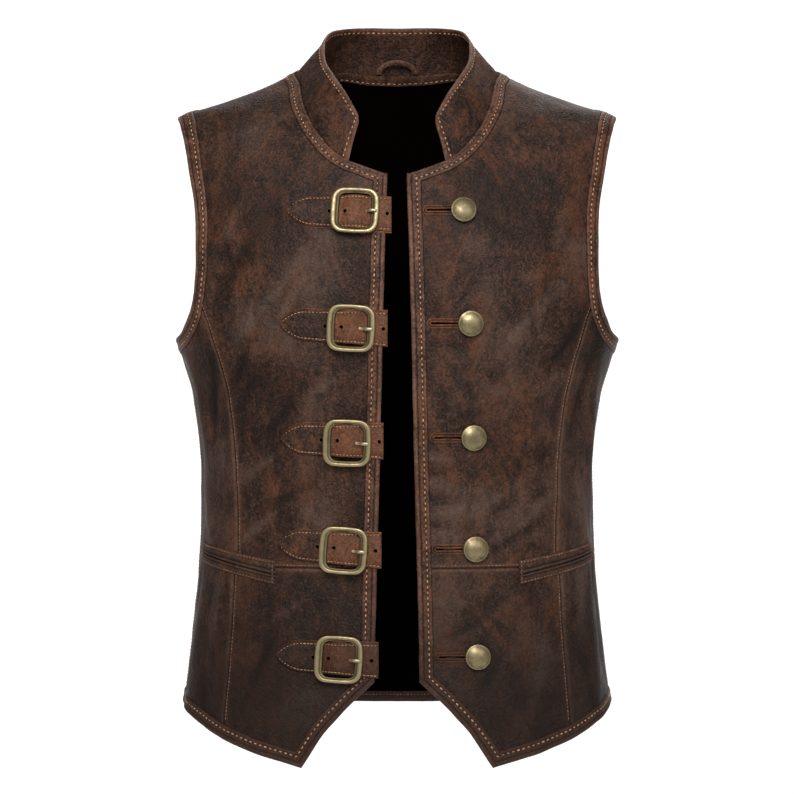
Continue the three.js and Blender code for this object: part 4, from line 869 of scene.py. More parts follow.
def panel_grids():
    """Each panel's grid of nodes and the edges that are seams."""
    s = SEAMS
    front_line = join(s["edgeUpper"], s["neckFront"], s["neckCollar"])
    outer_line = join(s["sideLower"], s["sideUpper"], s["armBack"])
    back_top = join(s["shoulderBack"], s["neckBack"])
    return {
        "front_upper": (
            patch(s["waistFront"], join(s["princessUpper"], s["armFront"]), s["shoulder"], front_line),
            ("bottom", "right", "top"),
        ),
        "front_lower": (
            patch(join(s["slant"], s["hemFront"]), s["princessLower"], s["waistFrontLower"], s["edgeLower"]),
            ("right", "top"),
        ),
        "side_upper": (
            patch(s["waistSide"], s["sideUpper"], s["armUnder"], s["princessUpper"]),
            ("bottom", "left", "right"),
        ),
        "side_lower": (
            patch(s["hemSide"], s["sideLower"], s["waistSideLower"], s["princessLower"]),
            ("top", "left", "right"),
        ),
        "back": (
            patch(s["hemBack"], s["centreBack"], back_top, outer_line, BACK_POWER),
            ("left", "right", "top"),
        ),
    }


# ------------------------------------------------------------------ strips along edges


def walk(side, nodes, step):
    """The nodes a short step, in millimetres, away from others along the smooth body."""
    along, up, _ = slopes(body, side, nodes[..., 0], nodes[..., 1])
    aa, au, uu = (np.sum(a * b, axis=-1) for a, b in ((along, along), (along, up), (up, up)))
    sa, su = np.sum(step * along, axis=-1), np.sum(step * up, axis=-1)
    area = aa * uu - au * au
    move = np.stack([(sa * uu - su * au) / area, (su * aa - sa * au) / area], axis=-1)
    return nodes + move


def tangents(points, closed=False):
    """The directions of a line at its points."""
    if closed:
        return unit(np.roll(points, -1, axis=0) - np.roll(points, 1, axis=0))
    ahead = np.vstack([points[1:], 2 * points[-1:] - points[-2:-1]])
    behind = np.vstack([2 * points[:1] - points[1:2], points[:-1]])
    return unit(ahead - behind)


class Rim:
    """An edge for a strip to follow: its nodes and those a width inside it, mitred at the corners."""

    def __init__(self, side, stretches, hand, width=BAND_WIDTH, before=0.0, after=0.0, closed=False):
        self.width, self.closed = width, closed
        sides, rows, inners = [], [], []
        lines = [body(side_of(side, row), row[:, 0], row[:, 1]) for row in stretches]
        for k, row in enumerate(stretches):
            last = k + 1 == len(lines)
            start = self.trim(lines[k - 1], lines[k], side, row, hand) if k else before
            finish = after if last else self.trim(lines[k], lines[k + 1], side, row, hand)
            s = side_of(side, row)
            normal = slopes(body, s, row[:, 0], row[:, 1])[2]
            inwards = hand * unit(np.cross(normal, tangents(lines[k], closed)))
            offset = walk(s, row, inwards * width)
            inner = offset if closed else self.spread(s, offset, lines[k], start * width, finish * width)
            skip = 1 if k else 0
            sides.append(s[skip:])
            rows.append(row[skip:])
            inners.append(inner[skip:])
        self.side, self.row, self.inner = np.concatenate(sides), np.vstack(rows), np.vstack(inners)

    @staticmethod
    def trim(before, after, side, row, hand):
        """How much shorter the inner line is at a corner, in widths."""
        arriving, leaving = unit(before[-1] - before[-2]), unit(after[1] - after[0])
        cosine = float(np.clip(arriving @ leaving, -1, 1))
        half = math.tan(math.acos(cosine) / 2)
        s = side_of(side, row)[:1]
        normal = slopes(body, s, row[:1, 0], row[:1, 1])[2][0]
        turning_in = float(np.cross(normal, arriving) @ leaving) * hand > 0
        return half if turning_in else -half

    @staticmethod
    def spread(side, offset, line, start, finish):
        """Spaces the inner nodes between the mitres as the outer ones are spaced."""
        inner_line = body(side, offset[:, 0], offset[:, 1])
        length, outer = run_along(inner_line), run_along(line)
        want = start + (length[-1] - start - finish) * outer / outer[-1]
        first = (offset[1] - offset[0]) / length[1]
        last = (offset[-1] - offset[-2]) / (length[-1] - length[-2])
        result = np.stack([np.interp(want, length, offset[:, c]) for c in (0, 1)], axis=-1)
        result += np.minimum(want, 0)[:, None] * first
        result += np.maximum(want - length[-1], 0)[:, None] * last
        return result

    def nodes(self, inn):
        """The nodes so many millimetres inside the edge."""
        return self.row + (self.inner - self.row) * (inn / self.width)

    def line(self, inn, out):
        """Points so far inside the edge and so high over the skin."""
        return on_skin(self.side, self.nodes(inn), out)

    def rings(self, profile, jitter=0.0, seed=1.0):
        """Rings of points over the skin. A profile is rows of (inn, out)."""
        profile = np.asarray(profile, float)
        along = np.arange(len(self.row))[:, None]
        wander = jitter * lattice(along / 5.0, np.zeros_like(along, float), seed)
        inn = profile[None, :, 0] + wander * (np.abs(profile[None, :, 0]) > 1)
        nodes = self.row[:, None] + (self.inner - self.row)[:, None] * (inn / self.width)[..., None]
        side = np.broadcast_to(self.side[:, None], inn.shape)
        return on_skin(side, nodes, np.broadcast_to(profile[None, :, 1], inn.shape))


def side_of(side, row):
    """The side of each node of a row, from one number or from a list."""
    side = np.asarray(side, float)
    return np.full(len(row), side) if side.ndim == 0 else side


# Outlines of the strips, from the leg outside, over the edge, to the leg inside: inn, out, wear with painted
# highlight, painted shade. The first rows of these and the flat strips are a thin dark skirt over the panel,
# a painted shadow beside the strip.
WRAP = table(
    "inn out wear shade",
    (11.8, -0.15, 0.0, 1.3), (11.75, 0.12, 0.0, 1.3), (11.4, 0.18, 0.0, 1.2), (11.2, 0.5, 0.2, 0.5),
    (10.9, 1.0, 0.6, 0.0), (10.0, 1.3, 0.35, 0.0), (8.8, 1.35, 0.1, 0.05), (8.1, 1.1, 0.0, 0.45),
    (7.6, 0.9, 0.0, 0.75), (7.1, 1.1, 0.0, 0.45), (6.3, 1.4, 0.1, 0.05), (4.4, 1.45, 0.15, 0.05),
    (3.3, 1.25, 0.0, 0.5), (2.8, 1.0, 0.0, 1.0), (2.3, 1.4, 0.2, 0.3), (1.5, 1.8, 0.6, 0.0),
    (0.2, 1.8, 0.9, 0.0), (-0.8, 1.3, 0.9, 0.0), (-1.4, 0.3, 0.8, 0.0), (-1.6, -0.9, 0.6, 0.0),
    (-1.4, -2.2, 0.6, 0.0), (-0.5, -3.2, 0.6, 0.0), (1.2, -3.6, 0.4, 0.0), (4.6, -3.5, 0.1, 0.1),
    (5.8, -3.15, 0.0, 0.6), (7.0, -3.4, 0.1, 0.1), (8.8, -3.2, 0.4, 0.0), (9.0, -2.5, 0.1, 0.5),
    (8.6, -1.7, 0.0, 1.0), (0.6, -1.2, 0.0, 1.0), (0.6, -0.6, 0.0, 1.0),
)
FLAT = table(
    "inn out wear shade",
    (11.7, -0.15, 0.0, 1.2), (11.6, 0.12, 0.0, 1.2), (11.1, 0.2, 0.0, 1.0), (10.9, 0.6, 0.3, 0.3),
    (10.2, 1.05, 0.5, 0.0), (8.9, 1.2, 0.1, 0.0), (8.1, 1.0, 0.0, 0.5), (7.6, 0.8, 0.0, 0.7),
    (7.1, 1.0, 0.0, 0.5), (6.2, 1.3, 0.2, 0.0), (4.0, 1.35, 0.2, 0.1), (3.3, 1.2, 0.0, 0.4),
    (2.7, 1.4, 0.3, 0.1), (1.8, 1.5, 0.6, 0.0), (1.0, 1.3, 0.5, 0.1), (0.3, 0.6, 0.2, 0.8),
    (0.3, -0.3, 0.0, 1.2),
)
WANDER = 0.22  # how far the strips' edges wander
ARMHOLE_STRETCH = 1.13  # how much wider the armholes' strips lie than the others
EDGE_ROW, INNER_ROW, FACING_ROW = 7.6, 5.8, 10.8  # from an edge to its rows of stitches
SEAM_ROW = 2.2  # from a seam to the stitches beside it
ALLOWANCE_WIDTH = 9
ALLOWANCE = table(
    "inn out wear shade",
    (-1.4, -1.7, 0.0, 0.6), (-1.4, -2.35, 0.0, 0.3), (3.6, -2.7, 0.0, 0.0), (8.4, -2.5, 0.0, 0.0),
    (9.0, -2.2, 0.0, 0.3), (8.8, -1.7, 0.0, 0.9),
)
FACING = table(
    "inn out wear shade",
    (14.0, -1.8, 0.0, 1.0), (14.2, -2.5, 0.3, 0.3), (13.6, -3.2, 0.6, 0.0), (11.6, -3.3, 0.1, 0.2),
    (10.8, -3.0, 0.0, 0.6), (10.0, -3.3, 0.1, 0.1), (4.0, -3.5, 0.3, 0.0), (1.2, -3.3, 0.3, 0.0),
    (0.8, -2.6, 0.0, 0.5), (0.9, -1.8, 0.0, 1.0),
)


def vest_rims():
    """The rims of both sides, and those of the back."""
    s = SEAMS

    def back(name):
        return s[name][::-1]

    def both(half):
        """The sides of a row that runs from the left, over the middle, to the right."""
        return np.concatenate([np.full(half, LEFT), np.full(half - 1, RIGHT)]).astype(float)

    neck = join(back("neckCollar"), back("neckFront"))
    edge = join(back("edgeUpper"), back("edgeLower"))
    hem = join(s["hemFront"], s["hemSide"])
    armhole = join(back("armUnder"), s["armFront"], back("armBack"))[:-1]
    rims = {}
    for side, hand in HANDS.items():
        corner = Rim.trim(
            body(np.full(2, side), neck[-2:, 0], neck[-2:, 1]),
            body(np.full(2, side), edge[:2, 0], edge[:2, 1]),
            side,
            edge,
            side,
        )
        rims[f"{hand}_neck_strip"] = Rim(side, [neck], side, after=corner)
        rims[f"{hand}_front_binding"] = Rim(side, [edge, s["slant"], hem], side, before=corner)
        rims[f"{hand}_armhole_binding"] = Rim(side, [armhole], side, closed=True)
    hem_row = join(s["hemBack"], back("hemBack"))
    rims["back_hem_binding"] = Rim(both(len(s["hemBack"])), [hem_row], LEFT)
    part = s["neckBack"][s["neckBack"][:, 0] > FACING_TURN]
    facing_row = join(part, part[::-1])
    rims["back_neck_facing"] = Rim(both(len(part)), [facing_row], RIGHT, width=FACING_WIDTH)
    return rims


def make_strip(name, rim, profile, seed, material="edge", stretch=1.0):
    """A strip round a rim, whose edges wander a little. stretch widens the part inside the rim."""
    outline = [(row["inn"] * (stretch if row["inn"] > 0 else 1), row["out"]) for row in profile]
    rings = rim.rings(outline, WANDER, seed)
    along = np.arange(len(rings))[:, None]
    drift = 0.5 + 0.5 * lattice(along / 9.0, np.zeros_like(along, float), seed + 2)
    values = {
        "wear": level(profile, "wear") * (0.35 + 0.65 * drift),
        "shade": level(profile, "shade"),
    }
    piece = sweep(f"leather_{name}", rings, finishes()[material], rim.closed, values, SHARP)
    return settle(piece, "edge_leather", name)


# ------------------------------------------------------------------ stitching

STITCH_LINES = {}

# Each kind of row against the settings, and its thread.
STITCH_KINDS = {
    "top": {"pitch": 1.0, "length": 1.0, "thick": 1.0, "paint": "thread"},
    "fine": {"pitch": 0.66, "length": 0.9, "thick": 0.6, "paint": "thread"},
    "seam": {"pitch": 0.66, "length": 0.9, "thick": 0.85, "paint": "seam_thread"},
}


def note_stitches(group, line, closed=False, kind="top"):
    """Keeps a line of points, in millimetres, for the thread to follow."""
    STITCH_LINES.setdefault((group, kind), []).append((line, closed))


def stitch_tree():
    """Even stitches along every line of a mesh."""
    tree = bpy.data.node_groups.new("stitch rows", "GeometryNodeTree")
    face = tree.interface
    face.new_socket("Lines", in_out="INPUT", socket_type="NodeSocketGeometry")
    for name in ("Pitch", "Length", "Thickness"):
        face.new_socket(name, in_out="INPUT", socket_type="NodeSocketFloat").subtype = "DISTANCE"
    face.new_socket("Seed", in_out="INPUT", socket_type="NodeSocketInt")
    face.new_socket("Thread", in_out="INPUT", socket_type="NodeSocketMaterial")
    face.new_socket("Stitches", in_out="OUTPUT", socket_type="NodeSocketGeometry")
    new = tree.nodes.new
    given = new("NodeGroupInput")
    curve = new("GeometryNodeMeshToCurve")
    spaced = new("GeometryNodeResampleCurve")
    spaced.mode = "LENGTH"
    stitch = new("GeometryNodeMeshUVSphere")
    for name, value in (("Segments", 8), ("Rings", 6), ("Radius", 0.5)):
        stitch.inputs[name].default_value = value
    place = new("GeometryNodeInstanceOnPoints")
    tangent = new("GeometryNodeInputTangent")
    turn = new("FunctionNodeAlignRotationToVector")
    turn.axis = "X"
    size = new("ShaderNodeCombineXYZ")
    vary = new("FunctionNodeRandomValue")
    vary.data_type = "FLOAT"
    scale = new("ShaderNodeVectorMath")
    scale.operation = "SCALE"
    real = new("GeometryNodeRealizeInstances")
    smooth = new("GeometryNodeSetShadeSmooth")
    paint = new("GeometryNodeSetMaterial")
    result = new("NodeGroupOutput")

    def number(sockets, name):
        return [k for k in sockets if k.name == name and k.type == "VALUE"][0]

    number(vary.inputs, "Min").default_value = 0.84
    number(vary.inputs, "Max").default_value = 1.14
    for source, output, target, entry in (
        (given, "Lines", curve, "Mesh"),
        (curve, "Curve", spaced, "Curve"),
        (given, "Pitch", spaced, "Length"),
        (spaced, "Curve", place, "Points"),
        (stitch, "Mesh", place, "Instance"),
        (tangent, "Tangent", turn, "Vector"),
        (turn, "Rotation", place, "Rotation"),
        (given, "Length", size, "X"),
        (given, "Thickness", size, "Y"),
        (given, "Thickness", size, "Z"),
        (given, "Seed", vary, "Seed"),
        (size, "Vector", scale, "Vector"),
        (scale, "Vector", place, "Scale"),
        (place, "Instances", real, "Geometry"),
        (real, "Geometry", smooth, "Geometry"),
        (smooth, "Geometry", paint, "Geometry"),
        (given, "Thread", paint, "Material"),
        (paint, "Geometry", result, "Stitches"),
    ):
        tree.links.new(source.outputs[output], target.inputs[entry])
    tree.links.new(number(vary.outputs, "Value"), scale.inputs["Scale"])
    return tree


def sew(name, lines, tree, seed, kind):
    """One piece of stitches along lines, as a plain mesh."""
    v = bpy.context.scene.vest
    row = STITCH_KINDS[kind]
    points, edges = [], []
    for line, closed in lines:
        start = len(points)
        points += (line * MM).tolist()
        edges += [(start + k, start + k + 1) for k in range(len(line) - 1)]
        if closed:
            edges.append((len(points) - 1, start))
    mesh = bpy.data.meshes.new(name)
    mesh.from_pydata(points, edges, [])
    piece = show(name, mesh)
    modifier = piece.modifiers.new("stitches", "NODES")
    modifier.node_group = tree
    sockets = {i.name: i.identifier for i in tree.interface.items_tree if i.in_out == "INPUT"}
    for entry, value in (
        ("Pitch", v.stitch_pitch * row["pitch"]),
        ("Length", v.stitch_length * row["length"]),
        ("Thickness", v.stitch_thickness * row["thick"]),
        ("Seed", seed),
        ("Thread", finishes()[row["paint"]]),
    ):
        modifier[sockets[entry]] = value
    bpy.context.view_layer.update()
    graph = bpy.context.evaluated_depsgraph_get()
    sewn = bpy.data.meshes.new_from_object(piece.evaluated_get(graph))
    piece.modifiers.clear()
    piece.data = sewn
    bpy.data.meshes.remove(mesh)
    return settle(piece, "edge_leather")


# ------------------------------------------------------------------ the add-on's sizes and colours


def length_setting(name, description, default):
    return bpy.props.FloatProperty(
        name=name, description=description, default=default, subtype="DISTANCE", unit="LENGTH"
    )


def color_setting(name, description, default):
    return bpy.props.FloatVectorProperty(
        name=name, description=description, default=default, subtype="COLOR", size=3
    )


class VestSettings(bpy.types.PropertyGroup):
    """Sizes and colours of the vest's finish."""

    crease_depth: bpy.props.FloatProperty(
        name="Crease depth",
        description="How strongly the leather is creased",
        default=1.3,
        min=0.0,
        max=2.0,
        subtype="FACTOR",
    )
    seam_depth: length_setting("Seam depth", "How far sewn edges roll in", 0.0009)
    stitch_pitch: length_setting("Stitch pitch", "From one stitch to the next", 0.0051)
    stitch_length: length_setting("Stitch length", "Length of thread that shows", 0.0030)
    stitch_thickness: length_setting("Thread thickness", "Thickness of the thread", 0.0013)
    leather: color_setting("Leather", "Colour of the panels", (0.0455, 0.0190, 0.0104))
    edge_leather: color_setting("Edge leather", "Colour of the bindings", (0.108, 0.0475, 0.0275))
    strap_leather: color_setting("Strap leather", "Colour of the straps", (0.040, 0.0190, 0.0115))
    rust: color_setting("Rubbed colour", "Colour where the leather is rubbed", (0.116, 0.0400, 0.0155))
    # The flesh side is painted near black, painted shade for the inside of the vest.
    inside: color_setting("Inside", "Colour of the flesh side", (0.0014, 0.0005, 0.0002))
    thread: color_setting("Thread", "Colour of the thread", (0.46, 0.25, 0.13))
    seam_thread: color_setting("Seam thread", "Colour of the thread beside the seams", (0.20, 0.086, 0.04))
    brass: color_setting("Brass", "Colour of buckles and buttons", (0.36, 0.29, 0.155))


class VEST_OT_panels(bpy.types.Operator):
    """Makes the ten panels of creased leather"""

    bl_idname = "vest.panels"
    bl_label = "Panels"

    def execute(self, context):
        for name, (grid, sewn) in panel_grids().items():
            for side, hand in HANDS.items():
                piece = make_panel(f"leather_{hand}_{name}", side, grid, sewn)
        return {"FINISHED"}


class VEST_OT_bindings(bpy.types.Operator):
    """Makes the bindings, the neck strips and the facing"""

    bl_idname = "vest.bindings"
    bl_label = "Bindings"

    def execute(self, context):
        for seed, (name, rim) in enumerate(vest_rims().items()):
            if "neck_strip" in name:
                make_strip(name, rim, FLAT, seed)
                note_stitches("necks", rim.line(EDGE_ROW, 1.0))
            elif "facing" in name:
                make_strip(name, rim, FACING, seed)
                note_stitches("necks", rim.line(FACING_ROW, -3.2))
            else:
                stretch = ARMHOLE_STRETCH if rim.closed else 1.0
                make_strip(name, rim, WRAP, seed, stretch=stretch)
                note_stitches(name, rim.line(EDGE_ROW * stretch, 1.15), rim.closed)
                note_stitches(f"{name}_inside", rim.line(INNER_ROW * stretch, -3.3), rim.closed, "seam")
        return {"FINISHED"}


class VEST_OT_seam_rows(bpy.types.Operator):
    """Marks the rows of stitches beside the seams, and makes the allowances inside them"""

    bl_idname = "vest.seam_rows"
    bl_label = "Seam rows"

    def execute(self, context):
        s = SEAMS
        princess = join(s["princessLower"], s["princessUpper"])
        side_seam = join(s["sideLower"], s["sideUpper"])
        for side, hand in HANDS.items():
            for row in (princess, s["waistFront"], s["waistSide"], s["shoulder"], side_seam, s["centreBack"]):
                rim = Rim(side, [row], side, width=SEAM_ROW)
                note_stitches(f"seams_{hand}", rim.line(SEAM_ROW, 0.12)[4:-4], False, "seam")
            for name, row, ways in (
                ("princess", princess, (1, -1)),
                ("side", side_seam, (1, -1)),
                ("shoulder", s["shoulder"], (1, -1)),
                ("centre_back", s["centreBack"], (1,)),
            ):
                for way in ways:
                    rim = Rim(side, [row[3:-3]], way * side, width=ALLOWANCE_WIDTH)
                    end = "fore" if way > 0 else "aft"
                    self.allowance(f"seam_allowance_{hand}_{name}_{end}", rim)
        return {"FINISHED"}

    def allowance(self, name, rim):
        """The turned-back edge of a panel inside a seam."""
        rings = rim.rings([(row["inn"], row["out"]) for row in ALLOWANCE])
        values = {"wear": 0.0, "shade": level(ALLOWANCE, "shade")}
        settle(sweep(name, rings, finishes()["inside"], values=values, sharp=SHARP), "leather")


# ------------------------------------------------------------------ collar and hanger loop


def collar_swell(share):
    """How far the collar swells out at shares of its height."""
    return COLLAR_SWELL * 4 * share * (1 - share)


def collar_lines(stations):
    """Foot and top of the collar at shares of its length, from the left front round to the right."""
    s = SEAMS
    half = join(s["neckCollar"], s["neckBack"])
    left = body(np.full(len(half), LEFT), half[:, 0], half[:, 1])
    right = body(np.full(len(half), RIGHT), half[:, 0], half[:, 1])[::-1]
    foot = np.vstack([left, right[1:]])
    other = [(-x, y, z) for x, y, z in COLLAR_TOP[:-1]][::-1]
    top = spline([*COLLAR_TOP, *other], len(foot) - 1)
    share = np.linspace(0, 1, len(foot))
    foot, top = (
        np.stack([np.interp(stations, share, line[:, c]) for c in range(3)], axis=-1) for line in (foot, top)
    )
    return foot, top


class VEST_OT_collar(bpy.types.Operator):
    """Makes the stand collar, stitched round its free edges"""

    bl_idname = "vest.collar"
    bl_label = "Collar"

    RIM = 6.6  # width of the redder rim
    ROW = 5.0  # from the edge to the stitches
    FOOT = 1.4  # how far it reaches into the neck seam
    CORNER = 7.0  # radius of its front corners
    LENGTH = 380.0
    FULL = 35  # height from which its rows have their full spacing

    def execute(self, context):
        m = finishes()
        ends = np.array([0, 0.25, 0.7, 1.4, 2.4, 3.4, 4.3, 5.0, 5.7, 6.6, 7.6, 9.0, 11.0]) / self.LENGTH
        first = 13.5 / self.LENGTH
        stations = np.concatenate([ends, np.linspace(first, 1 - first, 150), 1 - ends[::-1]])
        foot, top = collar_lines(stations)
        height = np.linalg.norm(top - foot, axis=1)
        from_top = np.concatenate(
            [[0, 0.3, 0.8, 1.6, 2.6, 3.5, 4.3, 5.0, 5.7, 6.6, 7.8, 9.5], np.linspace(12, 34, 9)]
        )
        kept = 9  # rows that keep their distance from the top where the collar is low
        rings, wear, shade = [], [], []
        up = unit(top - foot)
        along = tangents(foot)
        out = unit(np.cross(along, up))
        walked = run_along((foot + top) / 2)
        from_end = np.minimum(walked, walked[-1] - walked)
        short = np.clip(1 - from_end / self.CORNER, 0, 1)
        height -= self.CORNER * (1 - np.sqrt(1 - short**2))
        for k in range(len(stations)):
            foot_down = height[k] + self.FOOT
            if height[k] > self.FULL:
                down = np.append(from_top, foot_down)
            else:
                share = np.linspace(0, 1, len(from_top) - kept + 1)[1:]
                lowest = from_top[kept - 1]
                down = np.append(from_top[:kept], lowest + (foot_down - lowest) * share)
                down = np.interp(np.linspace(0, 1, len(from_top) + 1), np.linspace(0, 1, len(down)), down)
            near = np.minimum(down, from_end[k])
            swell = collar_swell(1 - down / height[k])
            wave = 0.35 * lattice(np.full_like(down, walked[k] / 30), down / 18, 4.0)
            groove = 0.4 * hump(near, self.ROW, 0.75)
            puff = 0.3 * hump(near, 2.6, 1.6) - 0.15 * hump(near, self.RIM, 0.6)
            half = COLLAR_THICK / 2 * np.sqrt(np.clip(1 - (1 - np.minimum(near / 1.3, 1)) ** 2, 0.02, 1))
            middle = foot[k] + up[k] * (height[k] - down)[:, None]
            centre = swell - COLLAR_THICK / 2 + wave
            face = half + puff - groove
            outer = middle + out[k] * (centre + face)[:, None]
            inner = middle + out[k] * (centre - face)[:, None]
            rings.append(np.vstack([outer[::-1], inner]))
            edge_wear_and_highlight = hump(near, 0, 1.4) * 0.8 + 0.3 * hump(near, 3, 2)
            # Painted shade in the stitch groove and along the rim's inner edge.
            dark = 0.7 * hump(near, self.ROW, 0.6) + 0.5 * hump(near, self.RIM + 0.6, 0.5)
            wear.append(np.concatenate([edge_wear_and_highlight[::-1], edge_wear_and_highlight]))
            shade.append(np.concatenate([dark[::-1], dark]))
        rings = np.array(rings)
        size = rings.shape[1]
        half_size = size // 2
        values = {"wear": np.array(wear), "shade": np.array(shade)}
        piece = sweep("leather_collar", rings, [m["panel"], m["edge"]], values=values, sharp=70)
        rim_faces = np.zeros((len(stations) - 1, size), int)
        for k in range(len(stations) - 1):
            for i in range(size):
                down = (half_size - 1 - i) if i < half_size else i - half_size
                below = from_top[min(down, len(from_top) - 1)]
                rim_faces[k, i] = min(below, float(from_end[k] + from_end[k + 1]) / 2) < self.RIM
        indices = np.concatenate([rim_faces.ravel(), [1, 1]]).astype(np.int32)
        piece.data.polygons.foreach_set("material_index", indices)
        settle(piece, "leather", "collar")
        self.mark_rows(foot, top, up, out, height, walked)
        return {"FINISHED"}

    def mark_rows(self, foot, top, up, out, height, walked):
        """The stitches run up one front edge, along the top and down the other, on both faces."""
        inside = (walked > self.ROW) & (walked < walked[-1] - self.ROW)
        for way in (1, -1):
            lift = out * (way * (COLLAR_THICK / 2 - 0.15) - COLLAR_THICK / 2)
            swell = collar_swell(1 - self.ROW / height)[:, None] * out
            note_stitches("collar", (top - up * self.ROW + swell + lift)[inside])
            for k in (int(np.argmax(inside)), len(walked) - 1 - int(np.argmax(inside[::-1]))):
                rise = np.linspace(1.5, height[k] - self.ROW - 3.5, 14)[:, None]
                swell = collar_swell(rise / height[k]) * out[k]
                note_stitches("collar", foot[k] + up[k] * rise + swell + lift[k])


class VEST_OT_hanger_loop(bpy.types.Operator):
    """Makes the loop inside the back neck"""

    bl_idname = "vest.hanger_loop"
    bl_label = "Hanger loop"

    def execute(self, context):
        foot = body(np.array([LEFT]), np.array([180.0]), np.array([float(BACK_NECK[-1]["z"])]))[0]
        head = np.array([0.0, COLLAR_TOP[-1][1], COLLAR_TOP[-1][2]])
        foot[0] = 0
        up = unit(head - foot)
        inwards = np.array([0.0, -up[2], up[1]])
        base = foot + up * LOOP["base"] + inwards * (COLLAR_THICK + LOOP["clear"])
        outline = [
            (-1, 0.25), (-0.92, 0.0), (0, -0.12), (0.92, 0.0), (1, 0.25),
            (1, 0.75), (0.92, 1.0), (0, 1.12), (-0.92, 1.0), (-1, 0.75),
        ]
        rings = []
        for angle in np.linspace(0, math.pi, 41):
            lift = LOOP["lean"] * math.sin(angle)
            ring = []
            for across, depth in outline:
                size = across * LOOP["strip"] / 2
                point = base + np.array([-math.cos(angle) * (LOOP["half"] + size), 0, 0])
                point = point + up * (math.sin(angle) * (LOOP["height"] + size))
                ring.append(point + inwards * (lift + depth * LOOP["thick"]))
            rings.append(ring)
        values = {"wear": np.array([0.8, 0.4, 0.1, 0.4, 0.8, 0.8, 0.5, 0.2, 0.5, 0.8]), "shade": 0.0}
        piece = sweep("leather_hanger_loop", np.array(rings), finishes()["edge"], values=values, sharp=70)
        settle(piece, "edge_leather", "hanger_loop")
        return {"FINISHED"}


# ------------------------------------------------------------------ pockets

WELT = table(
    "across out wear shade warm",
    (0.0, 0.05, 0.0, 1.2, 0.0), (0.0, 0.9, 0.2, 0.8, 0.0), (0.05, 1.6, 0.5, 0.1, 0.1),
    (0.14, 2.0, 0.7, 0.0, 0.2), (0.24, 1.8, 0.2, 0.2, 0.1), (0.3, 1.3, 0.0, 1.0, 0.0),
    (0.37, 1.6, 0.1, 0.3, 0.1), (0.5, 1.7, 0.15, 0.0, 0.2), (0.7, 1.4, 0.1, 0.1, 0.4),
    (0.82, 1.05, 0.0, 0.5, 0.6), (0.9, 1.15, 0.3, 0.0, 0.9), (0.98, 0.75, 0.4, 0.1, 0.9),
    (1.0, 0.0, 0.0, 1.2, 0.0), (0.98, -0.3, 0.0, 1.0, 0.0), (0.02, -0.3, 0.0, 1.0, 0.0),
)


class VEST_OT_pockets(bpy.types.Operator):
    """Makes the welts of the two slanting pockets"""

    bl_idname = "vest.pockets"
    bl_label = "Pockets"

    ROW = 0.83  # share of a welt's width at which its stitches run
    ENDS = 26  # how steeply the welts grow thinner to their ends

    def execute(self, context):
        share = np.linspace(0, 1, 45)

        def line(row, shift=0.0):
            turn = POCKET["inner"] + (POCKET["outer"] - POCKET["inner"]) * share
            return np.stack([turn, row["inner"] + (row["outer"] - row["inner"]) * share + shift], axis=-1)

        across = level(WELT, "across")[..., None]
        out = np.broadcast_to(level(WELT, "out"), (len(share), len(WELT)))
        values = {key: level(WELT, key) for key in ("wear", "shade", "warm")}
        ends = np.clip(np.minimum(share, 1 - share) * self.ENDS, 0, 1)[:, None] ** 0.5
        for side, hand in HANDS.items():
            for name, from_line, to_line in (
                ("upper", line(POCKET_SLIT, 0.2), line(POCKET_TOP)),
                ("lower", line(POCKET_SLIT, -0.5), line(POCKET_BOTTOM)),
            ):
                nodes = from_line[:, None] + (to_line - from_line)[:, None] * across
                rings = on_skin(side, nodes, out * (0.25 + 0.75 * ends))
                welt = f"{hand}_pocket_welt_{name}"
                piece = sweep(f"leather_{welt}", rings, finishes()["panel"], values=values, sharp=SHARP)
                settle(piece, "edge_leather", welt)
                row = from_line + (to_line - from_line) * self.ROW
                note_stitches(f"pocket_{hand}", on_skin(side, row[1:-1], 1.25), False, "seam")
            for k in (1, -2):
                low, high = line(POCKET_BOTTOM)[k], line(POCKET_TOP)[k]
                mid = np.linspace(0.08, 0.92, 9)[:, None]
                note_stitches(f"pocket_{hand}", on_skin(side, low + (high - low) * mid, 1.3), False, "seam")
        return {"FINISHED"}


# ------------------------------------------------------------------ straps, buckles and prongs

strap_height = column(
    table(
        "u out",
        (-46, STRAP_LOW), (-30, STRAP_LOW), (-21, STRAP_MID), (-14, STRAP_MID + 0.4), (-4, STRAP_HIGH - 0.5),
        (0, STRAP_HIGH), (4, STRAP_HIGH - 0.5), (14, STRAP_MID + 0.2), (19, STRAP_MID), (40, STRAP_MID),
    ),
    "out",
    "u",
)


def strap_ends(strap):
    """How far the pointed and the square end lie from the middle of the buckle."""
    return strap["x"] - strap["tip"], strap["x"] - strap["end"]


def strap_half(from_tip):
    """Half the strap's width at distances from its tip."""
    share = np.clip(from_tip / STRAP_POINT, 0, 1)
    flare = np.maximum(from_tip - STRAP_POINT, 0) * STRAP_FLARE
    return STRAP_WIDTH / 2 * np.maximum(np.sin(share * math.pi / 2) ** 0.72, 0.02) + flare / 2


def strap_nodes(strap, u, v):
    """Nodes of points u along a strap, from its buckle to the front edge, and v across it."""
    tilt = math.tan(math.radians(strap["tilt"]))
    return front_nodes(strap["x"] - u, strap["z"] + strap["rise"] + v - u * tilt)


